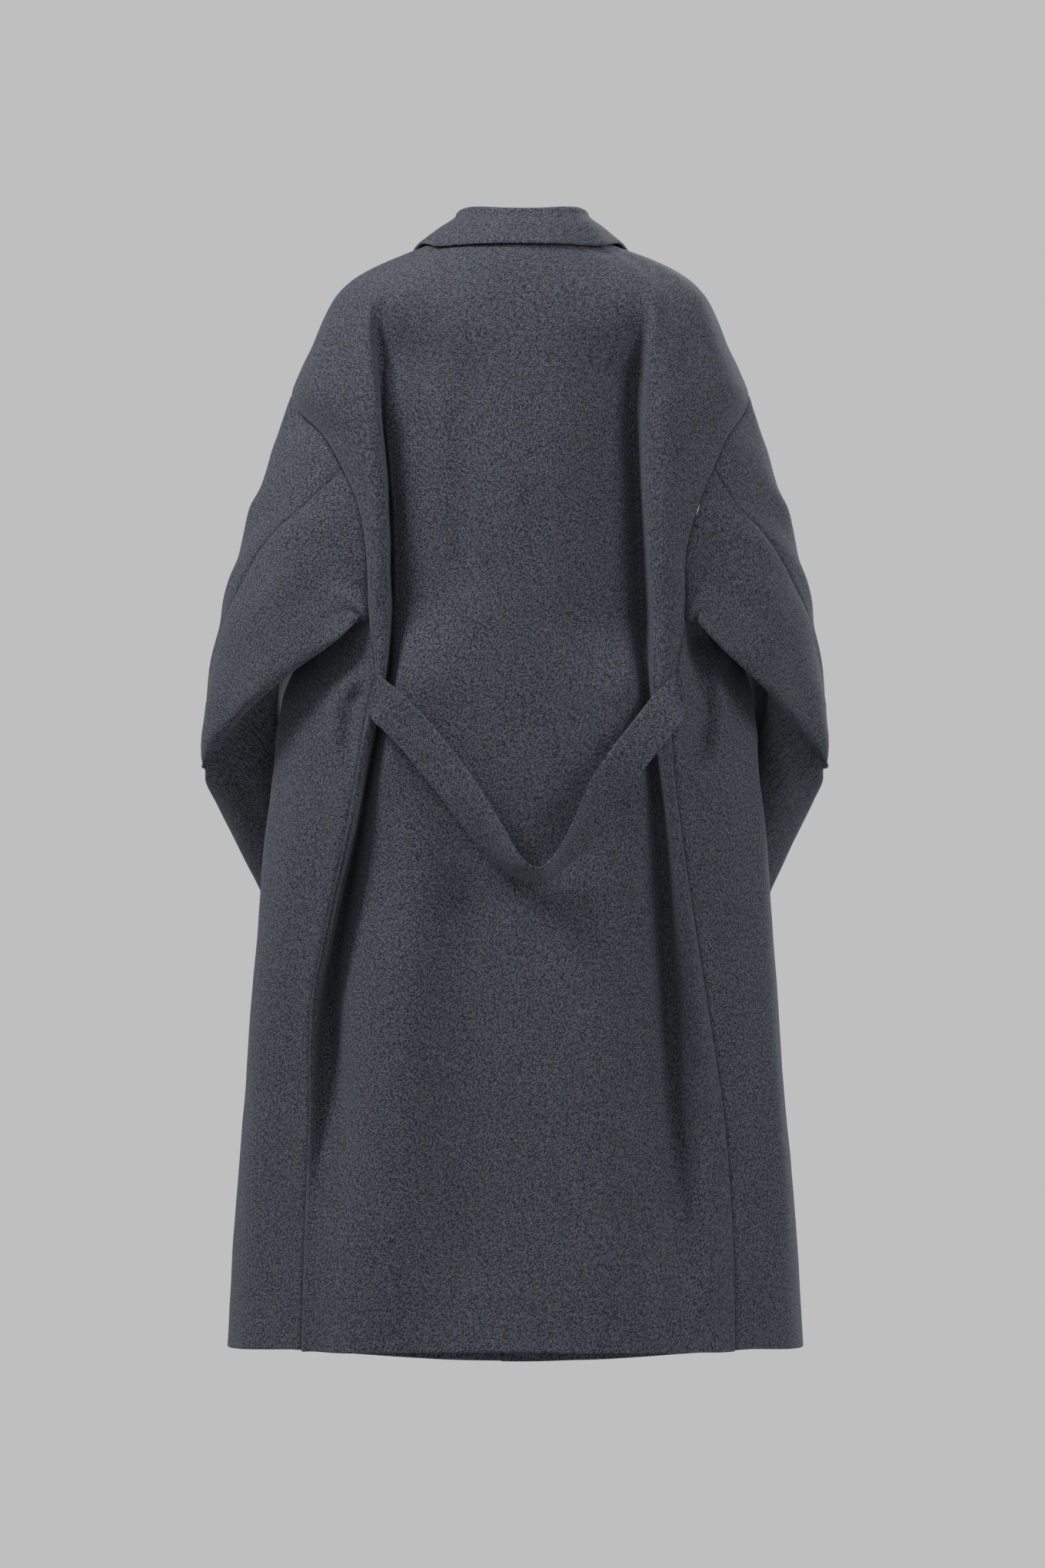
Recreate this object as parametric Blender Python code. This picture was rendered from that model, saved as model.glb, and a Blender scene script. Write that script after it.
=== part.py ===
"""Long woollen coat with dropped shoulders, two-piece sleeves and a hanging half belt.

The coat is filled out with no wearer. Metres in Blender, millimetres in the tables below.
+Z is up, the front faces -Y, the back faces +Y and +X is the wearer's left.
The origin is on the centre plane at the height of the shoulder line by the neck.

The body is a net of lines that run from the neck seam to the hem (centre, plateau, valley, lip,
crest, seam, side, quarter, front edge), crossed by level sections. Each piece of cloth is a part of
that net, or of the sleeve's loops, turned into a wall.
"""

import math
from collections import namedtuple

import bpy
import numpy as np

MM = 0.001
CLOTH = 2.2            # wall of the coat's wool cloth
FACING = 1.2           # wall of the facing inside each front edge
STRAP = 3.0            # the half belt is two layers of the same cloth
SEAM_GAP = 0.36        # gap between two pieces at a seam
FACING_GAP = 0.5       # gap between a front and its facing
LAP = 3.3              # how far each front moves from the other where they lap
LAP_REACH = 60.0       # distance over which the lap fades out from the centre line
FRONT_EDGE = 20.0      # how far each front passes the centre line
CHEST_LINES = (0, 0.27, 0.53, 0.8, 1.07, 1.3, 1.53, 1.77, 2.0, 2.5, 3.0)
FACING_FROM = 4        # the facing starts at this one of the chest lines
FACING_TOP_TRIM = 1.0  # the facing ends this far below the neck seam
FACING_HEM_TRIM = 3.0  # and this far above the hem

BUTTONS_Z = (-122, -292, -462, -632)
BUTTON_SIDES = 18
# Radius and height above the cloth, from the shank's foot up over the rim to the dished middle.
BUTTON_PROFILE = ((2.2, 0.3), (2.2, 1.1), (11.0, 1.1), (12.0, 2.5), (11.0, 4.7), (9.0, 4.4),
                  (7.0, 3.5))

BELT_WIDTH = 40.0
BELT_LEAN_LEFT = 15.0    # degrees that the strap's ends lean along the side-back seams
BELT_LEAN_RIGHT = 17.0

COLLAR_ROLL = 3.4        # outer radius of the collar's fold
COLLAR_SINK = 0.5        # the stand's foot below the neck seam, inside it
COLLAR_SHIFT = 2.5       # the collar sits this far towards the wearer's right
COLLAR_LIFT = 3.6        # the fall's outer face above the cloth that it lies on
STAND_HOLLOW = 0.6       # how far the stand's middle curves in
FALL_ROUND = 1.2         # how far the fall's middle rounds out

WOOL = (0.065, 0.078, 0.105, 1.0)
FACING_WOOL = (0.05, 0.06, 0.082, 1.0)
HORN = (0.012, 0.013, 0.017, 1.0)

# A level section of the body: heights of its lines, then the back's and front's depth at the
# centre and the quarter line of the front.
Level = namedtuple(
    "Level", "z_back z_edge z_side z_pit z_front back_y front_y quarter_x quarter_y steps")
LEVELS = (
    Level(12, 0, 0, 0, -86, 65, -73, 60, -60, 2),                    # neck seam
    Level(-10, -16, -16, -16, -102, 83, -84, 72, -73, 2),
    Level(-36, -36, -36, -36, -120, 98, -94, 84, -84, 1),            # shoulder corner
    Level(-62, -56, -56, -56, -138, 108, -102, 92, -92, 2),
    Level(-108, -104, -104, -104, -164, 118, -112, 100, -101, 2),
    Level(-156, -154, -154, -154, -192, 124, -119, 104, -108, 2),    # top of the armhole
    Level(-200, -200, -200, -200, -222, 128, -124, 106, -114, 1),
    Level(-236, -236, -236, -236, -250, 130, -127, 106, -118, 1),
    Level(-275, -275, -275, -275, -284, 131, -130, 106, -122, 1),
    Level(-325, -325, -325, -325, -330, 131, -132, 106, -124, 2),
    Level(-390, -392, -400, -362, -372, 131, -134, 106, -126, 2),    # underarm
    Level(-446, -446, -446, -446, -446, 131, -136, 106, -129, 1),    # top of the belt's end
    Level(-486, -486, -486, -486, -486, 131, -138, 106, -131, 2),
    Level(-550, -550, -550, -550, -550, 132, -140, 106, -133, 1),
    Level(-614, -614, -614, -614, -614, 134, -143, 106, -136, 1),
    Level(-690, -690, -690, -690, -690, 137, -146, 108, -139, 1),
    Level(-790, -790, -790, -790, -790, 141, -150, 110, -143, 1),
    Level(-890, -890, -890, -890, -890, 145, -154, 112, -147, 1),
    Level(-1020, -1020, -1022, -1024, -1030, 149, -160, 114, -153, 1),
    Level(-1133, -1136, -1144, -1158, -1175, 153, -166, 116, -159, 1),  # hem
)
ARMHOLE_TOP = 5
UNDERARM = 10

# One side of a level section, measured outwards from the centre line: the lip of the long back
# fold, the fold's width and depth, the back panel's edge (shoulder seam, armhole, then side-back
# seam) and how far the cloth rounds out between lip and edge.
Fold = namedtuple("Fold", "lip_x lip_y width depth edge_x edge_y round")
LEFT_FOLDS = (
    Fold(75, 36, 20, 0, 95, 0, 4),
    Fold(104, 46, 22, 0, 137, 0, 8),
    Fold(132, 62, 24, 0, 174, 0, 12),
    Fold(150, 76, 24, 2, 193, 0, 14),
    Fold(154, 97, 22, 8, 215, 0, 19),
    Fold(147, 112, 16, 20, 237, 0, 26),
    Fold(143, 119, 16, 34, 204, 62, 8),
    Fold(140, 121, 17, 42, 183, 86, 4),
    Fold(137, 123, 17, 46, 166, 103, 2),
    Fold(136, 124, 18, 48, 158, 108, 2),
    Fold(136, 124, 19, 48, 155, 106, 3),
    Fold(139, 124, 20, 48, 148, 121, 0.5),
    Fold(147, 124, 19, 46, 157, 119, 0.5),
    Fold(160, 123, 21, 44, 168, 119, 0.5),
    Fold(172, 121, 23, 42, 179, 117, 0.5),
    Fold(189, 115, 27, 34, 196, 111, 0.5),
    Fold(207, 107, 34, 19, 215, 101, 0.5),
    Fold(207, 109, 44, 6, 216, 101, 1),
    Fold(210, 112, 40, 0, 221, 104, 1),
    Fold(212, 115, 30, 0, 224, 108, 1),
)
RIGHT_FOLDS = (
    Fold(75, 36, 24, 0, 95, 0, 4),
    Fold(104, 46, 26, 0, 141, 0, 8),
    Fold(128, 64, 28, 1, 177, 0, 13),
    Fold(140, 80, 30, 2, 195, 0, 16),
    Fold(137, 104, 32, 6, 216, 0, 23),
    Fold(132, 116, 32, 12, 238, 0, 30),
    Fold(129, 120, 31, 20, 216, 60, 11),
    Fold(129, 122, 27, 24, 200, 84, 7),
    Fold(130, 123, 25, 26, 184, 100, 4),
    Fold(133, 124, 27, 27, 171, 104, 4),
    Fold(136, 124, 28, 28, 170, 102, 5),
    Fold(136, 124, 25, 28, 160, 117, 1),
    Fold(138, 123, 24, 28, 156, 118, 1),
    Fold(146, 122, 26, 28, 159, 118, 1),
    Fold(154, 121, 30, 27, 167, 115, 1),
    Fold(162, 118, 34, 24, 178, 111, 1),
    Fold(168, 118, 35, 16, 194, 106, 2),
    Fold(172, 120, 35, 8, 209, 102, 3),
    Fold(180, 123, 36, 3, 219, 103, 4),
    Fold(185, 126, 36, 0, 221, 107, 4),
)

# The side below the underarm: its silhouette, the rounding towards the side-back seam, and the
# line under the front of the armhole. The last two also give the front armhole above it.
Flank = namedtuple("Flank", "left_x right_x side_y cheek pit_x pit_y")
FLANKS = (
    Flank(0, 0, 0, 0, 95, 0),
    Flank(0, 0, 0, 0, 137, 0),
    Flank(0, 0, 0, 0, 174, 0),
    Flank(0, 0, 0, 0, 193, 0),
    Flank(0, 0, 0, 0, 215, 0),
    Flank(0, 0, 0, 0, 237, 0),
    Flank(0, 0, 0, 0, 212, -50),
    Flank(0, 0, 0, 0, 198, -70),
    Flank(0, 0, 0, 0, 187, -84),
    Flank(0, 0, 0, 0, 181, -92),
    Flank(207, 205, 0, 12, 182, -92),
    Flank(236, 235, 20, 10, 184, -88),
    Flank(247, 242, 25, 12, 185, -85),
    Flank(256, 248, 25, 14, 186, -83),
    Flank(264, 256, 20, 16, 189, -85),
    Flank(270, 261, 12, 18, 197, -90),
    Flank(278, 268, 5, 20, 210, -98),
    Flank(286, 275, 0, 22, 220, -105),
    Flank(296, 286, -5, 24, 230, -111),
    Flank(304, 294, -5, 24, 237, -116),
)

# Soft folds in the body's cloth, each a ridge (or trough, if negative) between two heights.
Drape = namedtuple("Drape", "top_x top_z low_x low_z width height")
BACK_DRAPES = (
    Drape(66, -100, 70, -420, 22, -3.0),
    Drape(30, -600, 22, -1133, 34, -5.0),
    Drape(-40, -640, -70, -1133, 40, 4.0),
    Drape(110, -700, 150, -1133, 34, 4.0),
)
FRONT_DRAPES = (
    Drape(128, -160, 120, -620, 18, -6.0),
    Drape(-126, -160, -116, -700, 20, -5.0),
    Drape(72, -560, 88, -1175, 32, -5.0),
    Drape(-66, -480, -92, -1175, 30, -6.0),
    Drape(165, -640, 190, -1160, 26, 4.0),
    Drape(-160, -640, -186, -1160, 26, 4.0),
)
DRAPE_FADE = 90.0      # a soft fold fades in and out over this height

# Loops of the left sleeve between armhole and forearm, each through eight named stations. The
# three by the underarm are steps from the armhole's own points there.
Loop = namedtuple(
    "Loop", "top back_high back back_low under front_low front front_high inward")
CAP = Loop((268, 0, -234), (238, 60, -262), (204, 96, -304), (5, 6, 1),
           (6, -1, 0), (5, -5, 0), (206, -90, -298), (238, -58, -260), 1)
BICEP = Loop((302, 0, -345), (275, 58, -352), (232, 96, -366), (10, 9, 0),
             (12, -2, -2), (10, -9, -3), (232, -91, -356), (278, -56, -346), 4)
LOW = Loop((326, -4, -440), (293, 56, -428), (242, 97, -412), (15, 9, -2),
           (16, -2, -5), (14, -12, -6), (245, -97, -402), (294, -62, -424), 8)
ELBOW = Loop((336, -8, -531), (301, 48, -498), (250, 92, -458), (20, 6, -6),
             (20, -4, -10), (18, -15, -10), (254, -101, -444), (303, -66, -494), 10)
TUCK = Loop((336, -15, -542), (305, 24, -507), (268, 40, -466), (80, -50, -35),
            (45, -23, -31), (34, -24, -44), (262, -116, -466), (306, -84, -508), 11)
STATION_COLUMN = (0.0, 2.33, 4.67, 7.0, 12.0, 16.0, 18.33, 20.67)
STATION_ANGLE = (0, 42, 84, 126, 205, 250, 286, 322)
STATION_SHIFT = (1.0, 0.9, 0.5, 0.0, 0.0, 0.0, 0.5, 0.9)
UNDER_COLUMNS = (7, 12, 16)
RING_COLUMNS = 23

# Sections of the left forearm: centre, half widths across and in depth, and shift of the right.
Forearm = namedtuple("Forearm", "x y z across deep inward")
FOREARM = (
    Forearm(275, -68, -557, 50, 45, 11),
    Forearm(252, -102, -612, 48, 44, 11),
    Forearm(229, -140, -668, 46, 43, 9),
    Forearm(216, -162, -708, 45, 42, 7),
)
# Share of the armhole's own shape that each loop keeps.
ARMHOLE_SHARE = (1.0, 1.0, 0.9, 0.7, 0.4, 0.0, 0.0, 0.0, 0.0)
# How many columns each ring turns round the sleeve, the armhole's first, so that the back seam
# runs to the outer edge above the elbow.
RING_TURN = (0.0, 1.1, 2.9, 4.0, 4.6, 4.7, 4.8, 4.8, 4.8, 4.8)
# How far the back seam is held back from that turn, so that it runs straight to the outer edge,
# and over how many columns on each side.
SEAM_HELD = (0.0, 1.17, 0.95, 0.1, 0.0, 0.0, 0.0, 0.0, 0.0, 0.0)
SEAM_REACH = 6.0
SLEEVE_STEPS = (3, 3, 2, 3, 2, 2, 1, 1, 1)
BACK_SEAM_COLUMN = 3
FRONT_SEAM_COLUMN = 17
LEFT_TUCK = 1.0        # how deep the tuck over the elbow is, as a share of the table's
RIGHT_TUCK = 0.55

# The collar, from the centre back to its front end: where it meets the neck seam and where its
# edge lies on the body (line and level of the net), and the middle of its fold.
CollarRib = namedtuple("CollarRib", "seam_at fold_x fold_y fold_z edge_line edge_level")
COLLAR_BACK = (
    CollarRib(7.0, 0, 55, 29, 7.0, 0.86),
    CollarRib(6.0, 25, 52, 29.5, 6.0, 0.84),
    CollarRib(4.6, 48, 40, 31.5, 4.2, 0.70),
    CollarRib(2.0, 61, 20, 31.5, 1.8, 0.38),
    CollarRib(0.0, 66, 0, 24, 0.0, 0.24),
)
COLLAR_FRONT = (
    CollarRib(0.35, 66, -26, 4, 0.35, 0.9),
    CollarRib(0.8, 56, -50, -24, 0.75, 1.9),
    CollarRib(1.25, 36, -69, -50, 1.08, 2.9),
    CollarRib(1.7, 12, -80, -68, 1.38, 3.5),
)
COLLAR_STEPS = 3

# The half belt from the wearer's left to right: its upper edge, its turn about that edge, and how
# far its middle bows out.
BeltRib = namedtuple("BeltRib", "x y z turn bow")
BELT = (
    BeltRib(147, 128.4, -446, 0, 0),
    BeltRib(134, 131.8, -456, 0, 0),
    BeltRib(122, 135.2, -466, 0, 0),
    BeltRib(95, 141, -493, 4, 0),
    BeltRib(68, 147, -526, 9, 0),
    BeltRib(47, 154, -554, 16, 0.5),
    BeltRib(29, 162, -583, 26, 1),
    BeltRib(13, 171, -611, 40, 1.5),
    BeltRib(-1, 179, -635, 58, 2),
    BeltRib(-19, 183, -646, 70, 2),
    BeltRib(-35, 182, -634, 64, -3),
    BeltRib(-49, 178, -612, 54, -5),
    BeltRib(-61, 172, -586, 42, -4),
    BeltRib(-73, 164, -557, 28, -2),
    BeltRib(-91, 155, -527, 14, 0),
    BeltRib(-110, 146, -502, 6, 0),
    BeltRib(-136, 133, -469, 0, 0),
    BeltRib(-147, 127.8, -458, 0, 0),
    BeltRib(-158, 123.6, -447, 0, 0),
)


def clear_scene():
    """Empty the file."""
    for item in list(bpy.data.objects):
        bpy.data.objects.remove(item, do_unlink=True)


def tangents(knots, values):
    """Slopes at each knot of a smooth curve through values, one row of values for a knot."""
    steps = np.diff(knots)
    chords = np.diff(values, axis=0) / steps[:, None]
    slopes = np.empty_like(values)
    slopes[0] = chords[0]
    slopes[-1] = chords[-1]
    before, after = steps[:-1, None], steps[1:, None]
    slopes[1:-1] = (chords[:-1] * after + chords[1:] * before) / (before + after)
    return slopes


def smooth(knots, values, where):
    """Points at the given places on a smooth curve through values."""
    knots = np.asarray(knots, float)
    values = np.asarray(values, float)
    flat = values.reshape(len(values), -1)
    slopes = tangents(knots, flat)
    where = np.clip(np.atleast_1d(where), knots[0], knots[-1])
    i = np.clip(np.searchsorted(knots, where, side="right") - 1, 0, len(knots) - 2)
    h = (knots[i + 1] - knots[i])[:, None]
    t = (where - knots[i])[:, None] / h
    found = (flat[i] * (2 * t**3 - 3 * t**2 + 1) + flat[i + 1] * (3 * t**2 - 2 * t**3)
             + slopes[i] * h * (t**3 - 2 * t**2 + t) + slopes[i + 1] * h * (t**3 - t**2))
    return found.reshape((len(where),) + values.shape[1:])


def spans(counts):
    """Places along a line of keys, with counts[i] steps between key i and the next."""
    places = [0.0]
    for i, count in enumerate(counts):
        places += [i + (k + 1) / count for k in range(count)]
    return np.array(places)


def unit(vector):
    """The vector at length 1."""
    return vector / max(np.linalg.norm(vector), 1e-9)


def back_half(side):
    """Key points of one half of the back, per level, from the edge to next to the centre."""
    rows = []
    for level, fold in zip(LEVELS, LEFT_FOLDS if side > 0 else RIGHT_FOLDS):
        lip = np.array([fold.lip_x, fold.lip_y], float)
        edge = np.array([fold.edge_x, fold.edge_y], float)
        out = unit(np.array([lip[1] - edge[1], edge[0] - lip[0]]))
        deep = min(1.0, fold.depth / 30.0)
        reach = np.linalg.norm(edge - lip)
        crest = lip + unit(edge - lip) * min(0.4 * reach, 7.0) + out * (0.5 + 2.5 * deep)
        middle = (crest + edge) / 2 + out * fold.round
        plateau_x = fold.lip_x - fold.width
        drop = 6.0 * (plateau_x / 120.0) ** 2
        plateau = np.array([plateau_x, level.back_y - drop])
        if level.z_back > -120:
            plateau[1] = level.back_y - (level.back_y - fold.lip_y) * (plateau_x / fold.lip_x) ** 2.2
        share = 0.5 + 0.28 * deep
        valley = plateau + (lip - plateau) * share - np.array([0.0, fold.depth])
        inner = np.array([0.5 * plateau_x, level.back_y - (level.back_y - plateau[1]) * 0.22])
        line = (edge, middle, crest, lip, valley, plateau, inner)
        falls = (1.0, 0.92, 0.82, 0.74, 0.66, 0.5, 0.14)
        rows.append([[side * x, y, level.z_back + (level.z_edge - level.z_back) * fall]
                     for (x, y), fall in zip(line, falls)])
    return np.array(rows)


def body_net():
    """Key points of the back (left edge to right edge), and of each front and side."""
    left, right = back_half(1), back_half(-1)
    centre = np.array([[[0, v.back_y, v.z_back]] for v in LEVELS], float)
    back = np.concatenate([left, centre, right[:, ::-1]], axis=1)
    fronts = {}
    for side, half in ((1, left), (-1, right)):
        chest, flank_rows = [], []
        for i, (level, flank) in enumerate(zip(LEVELS, FLANKS)):
            edge, middle = half[i, 0], half[i, 1]
            silhouette = flank.left_x if side > 0 else flank.right_x
            quarter_z = level.z_pit + 0.72 * (level.z_front - level.z_pit)
            quarter = np.array([side * level.quarter_x, level.quarter_y, quarter_z], float)
            front = np.array([0.0, level.front_y, level.z_front])
            beyond = quarter * np.array([-1, 1, 1])
            if i <= ARMHOLE_TOP:
                pit, ghost = edge, middle
            else:
                pit = np.array([side * flank.pit_x, flank.pit_y, level.z_pit], float)
                ghost = pit + np.array([side * 22.0, 30.0, 0.0])
            if i >= UNDERARM:
                outer = np.array([side * silhouette, flank.side_y, level.z_side], float)
                along = unit(outer[:2] - edge[:2])
                out = np.array([-along[1], along[0]]) * side
                if out[1] < 0:
                    out = -out
                cheek = (edge + outer) / 2
                cheek[:2] += out * flank.cheek
                flank_rows.append([middle, edge, cheek, outer, pit, quarter])
                ghost = outer
            chest.append([ghost, pit, quarter, front, beyond, beyond * 2 - front])
        fronts[side] = (np.array(chest), np.array(flank_rows))
    return back, fronts


def level_knots(back):
    """Distances between level sections, measured along the edges of the back."""
    gaps = np.linalg.norm(np.diff(back[:, (0, -1)], axis=0), axis=2).mean(axis=1)
    return np.concatenate([[0.0], np.cumsum(gaps)])


def section(keys, places, ghosts):
    """Points at places on the smooth curve through keys, which has a ghost at each end."""
    steps = np.sqrt(np.maximum(np.linalg.norm(np.diff(keys, axis=0), axis=1), 1e-3))
    knots = np.concatenate([[0.0], np.cumsum(steps)])
    where = np.interp(np.asarray(places) + ghosts, np.arange(len(keys)), knots)
    return smooth(knots, keys, where)


def lay(points, drapes):
    """Move points in depth by the soft folds that cross their height."""
    points = points.copy()
    outward = 1.0 if drapes is BACK_DRAPES else -1.0
    for fold in drapes:
        x, z = points[..., 0], points[..., 2]
        share = np.clip((z - fold.top_z) / (fold.low_z - fold.top_z), 0, 1)
        middle = fold.top_x + (fold.low_x - fold.top_x) * share
        fade = np.clip((fold.top_z - z) / DRAPE_FADE, 0, 1)
        if fold.low_z > -1100:
            fade = fade * np.clip((z - fold.low_z) / DRAPE_FADE, 0, 1)
        fade = fade * fade * (3 - 2 * fade)
        hump = np.exp(-(((x - middle) / fold.width) ** 2))
        points[..., 1] += outward * fold.height * fade * hump
    return points


class Body:
    """The net of the coat's body, and points on it."""

    def __init__(self):
        self.back, self.fronts = body_net()
        self.knots = level_knots(self.back)

    def levels(self, keys, places, first=0):
        """Key points at places between level sections."""
        at = np.interp(np.asarray(places, float), np.arange(len(self.knots)), self.knots)
        return smooth(self.knots[first:], keys, at)

    def back_points(self, places, lines):
        """Points of the back at levels and lines; line 0 is the left edge, 7 the centre."""
        keys = self.levels(self.back, places)
        rows = []
        for place, row in zip(places, keys):
            ghosts = []
            for side, end, near in ((1, 0, 1), (-1, -1, -2)):
                if place <= ARMHOLE_TOP:
                    ghost = row[near] * np.array([1, -1, 1])
                elif place < UNDERARM:
                    ghost = row[end] + (row[end] - row[near]) * 0.8
                else:
                    ghost = self.levels(self.fronts[side][1], [place], UNDERARM)[0][2]
                ghosts.append(ghost)
            full = np.concatenate([[ghosts[0]], row, [ghosts[1]]])
            rows.append(section(full, lines, 1))
        rows, lines = np.array(rows), np.asarray(lines, float)
        held = np.clip(np.minimum(lines, 14 - lines), 0, 1)[None, :, None]
        return rows + (lay(rows, BACK_DRAPES) - rows) * held

    def edge_line(self, side, places):
        """The back panel's edge: shoulder seam, armhole and side-back seam."""
        return self.levels(self.back, places)[:, 0 if side > 0 else -1]

    def pit_line(self, side, places):
        """The shoulder seam, the front of the armhole and the line under it."""
        places = np.asarray(places, float)
        pit = self.levels(self.fronts[side][0][ARMHOLE_TOP:, 1], places, ARMHOLE_TOP)
        return np.where((places <= ARMHOLE_TOP)[:, None], self.edge_line(side, places), pit)

    def front_points(self, side, places, lines):
        """Points of a front; line 0 is the shoulder seam, armhole or pit line, 1 the quarter
        line, 2 the centre line and 3 the front edge."""
        keys = self.levels(self.fronts[side][0], places)
        keys[:, 1] = self.pit_line(side, places)
        lines = np.asarray(lines, float)
        rows = []
        for row in keys:
            past = np.maximum(lines - 2, 0) * FRONT_EDGE / abs(row[2, 0])
            rows.append(section(row, np.minimum(lines, 2) + past, 1))
        rows = np.array(rows)
        across = np.clip(1 - np.abs(rows[..., 0]) / LAP_REACH, 0, 1)
        blend = np.minimum(1, 1.5 * across)
        rows[..., 1] -= side * LAP * blend * blend * (3 - 2 * blend)
        held = np.clip(np.asarray(lines, float), 0, 1)[None, :, None]
        return rows + (lay(rows, FRONT_DRAPES) - rows) * held

    def flank_points(self, side, places, lines):
        """Points below the underarm; line 0 is the side-back seam and 3 the pit line."""
        keys = self.levels(self.fronts[side][1], places, UNDERARM)
        keys[:, 1] = self.edge_line(side, places)
        keys[:, 4] = self.pit_line(side, places)
        return np.array([section(row, lines, 1) for row in keys])


def weld(grids):
    """One surface of four-sided faces from grids of points that share their edges."""
    found, points, faces = {}, [], []
    for grid in grids:
        index = np.empty(grid.shape[:2], int)
        for i, j in np.ndindex(*index.shape):
            key = tuple(np.round(grid[i, j] * 100).astype(int))
            if key not in found:
                found[key] = len(points)
                points.append(grid[i, j])
            index[i, j] = found[key]
        for i, j in np.ndindex(index.shape[0] - 1, index.shape[1] - 1):
            faces.append((index[i, j], index[i, j + 1], index[i + 1, j + 1], index[i + 1, j]))
    return np.array(points), faces


def flipped(face):
    """The face from its other side, split along the same diagonal."""
    return (face[0],) + tuple(face[:0:-1])


def face_outward(points, faces, hint):
    """Turn the faces so that they face away from the hint."""
    middle = points[list(faces[0])].mean(axis=0)
    a, b, c, d = points[list(faces[0])]
    if np.dot(np.cross(c - a, d - b), middle - hint) < 0:
        return [flipped(face) for face in faces]
    return faces


def normals_of(points, faces):
    """A unit normal for each point, from the faces that meet there."""
    normals = np.zeros_like(points)
    for face in faces:
        a, b, c, d = points[list(face)]
        normal = np.cross(c - a, d - b)
        for corner in face:
            normals[corner] += normal
    return normals / np.maximum(np.linalg.norm(normals, axis=1), 1e-9)[:, None]


def rim_of(faces):
    """Directed edges that only one face has."""
    edges = {}
    for face in faces:
        for a, b in zip(face, face[1:] + face[:1]):
            edges[a, b] = True
    return [(a, b) for a, b in edges if (b, a) not in edges]


class Piece:
    """A piece of cloth before it gets its thickness."""

    def __init__(self, name, grids, hint, thickness, material, sewn=True):
        self.name, self.thickness, self.material, self.sewn = name, thickness, material, sewn
        self.points, faces = weld(grids)
        self.faces = [tuple(int(i) for i in f) for f in face_outward(self.points, faces, hint)]
        self.normals = normals_of(self.points, self.faces)
        self.rim = rim_of(self.faces)

    def place(self, i):
        """A key that pieces share where they are sewn together."""
        return tuple(np.round(self.points[i] * 100).astype(int))


def sew(pieces):
    """Directions that pieces share at their seams, and the cosine of each seam's angle."""
    shared = {}
    for piece in pieces:
        for i in {a for a, _ in piece.rim}:
            shared.setdefault(piece.place(i), []).append(piece.normals[i])
    seams = {}
    for key, normals in shared.items():
        if len(normals) > 1:
            direction = unit(np.sum(normals, axis=0))
            seams[key] = (direction, min(float(np.dot(direction, n)) for n in normals))
    return seams


def wall(piece, seams):
    """Points and faces of the piece as a closed wall, parted from its neighbours at seams."""
    outer, inner = piece.points.copy(), piece.points - piece.normals * piece.thickness
    after = dict(piece.rim)
    before = {b: a for a, b in piece.rim}
    middles = {}
    for face in piece.faces:
        middle = piece.points[list(face)].mean(axis=0)
        for corner in face:
            middles.setdefault(corner, []).append(middle)
    for i in after:
        seam = seams.get(piece.place(i)) if piece.sewn else None
        if seam is None:
            continue
        direction, cosine = seam
        ends = [k if piece.place(k) in seams else i for k in (before[i], after[i])]
        across = unit(np.cross(piece.points[ends[1]] - piece.points[ends[0]], direction))
        inward = np.mean(middles[i], axis=0) - piece.points[i]
        if np.dot(across, inward) < 0:
            across = -across
        shift = across * SEAM_GAP / 2
        outer[i] = piece.points[i] + shift
        inner[i] = piece.points[i] + shift - direction * piece.thickness / max(0.6, cosine)
    count = len(outer)
    faces = list(piece.faces) + [tuple(i + count for i in flipped(f)) for f in piece.faces]
    for a, b in piece.rim:
        if piece.place(a) < piece.place(b):
            faces.append((a, a + count, b + count, b))
        else:
            faces.append((b, a, a + count, b + count))
    return np.concatenate([outer, inner]), faces


def finish(name, colour, roughness):
    """A plain material."""
    material = bpy.data.materials.new(name)
    material.use_nodes = True
    shader = material.node_tree.nodes["Principled BSDF"]
    shader.inputs["Base Color"].default_value = colour
    shader.inputs["Roughness"].default_value = roughness
    shader.inputs["Metallic"].default_value = 0.0
    return material


def add_object(name, points, faces, material):
    """Add a mesh in metres to the scene as a named object."""
    mesh = bpy.data.meshes.new(name)
    mesh.from_pydata((np.asarray(points) * MM).tolist(), [], [list(f) for f in faces])
    mesh.validate()
    mesh.shade_smooth()
    mesh.set_sharp_from_angle(angle=math.radians(50))
    item = bpy.data.objects.new(name, mesh)
    bpy.context.collection.objects.link(item)
    mesh.materials.append(material)
    return item


def level_places(first, last):
    """Places of the sections to build between two levels."""
    return first + spans([v.steps for v in LEVELS[first:last]])


def armhole(body, side):
    """The armhole's points, from its top down the back, under the arm and up the front."""
    places = level_places(ARMHOLE_TOP, UNDERARM)
    back = body.back_points(places, [0.0 if side > 0 else 14.0])[:, 0]
    under = body.flank_points(side, [UNDERARM], spans((3, 3, 3)))[0]
    front = body.front_points(side, places, [0.0])[:, 0]
    return np.concatenate([back[:-1], under[:-1], front[:0:-1]])


def forearm_loop(part, ahead, side):
    """Eight stations round a section of the forearm, square to its axis."""
    centre = np.array([part.x, part.y, part.z], float)
    axis = unit(np.array(ahead) - centre)
    outward = unit(np.cross(np.cross(axis, (1.0, 0.35, 0.0)), axis))
    rear = unit(np.cross(outward, axis))
    if rear[1] < 0:
        rear = -rear
    points = []
    for angle in STATION_ANGLE:
        a = math.radians(angle)
        points.append(centre + outward * part.across * math.cos(a) + rear * part.deep * math.sin(a))
    points = np.array(points)
    if side < 0:
        points[:, 0] -= part.inward
    return points


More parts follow.
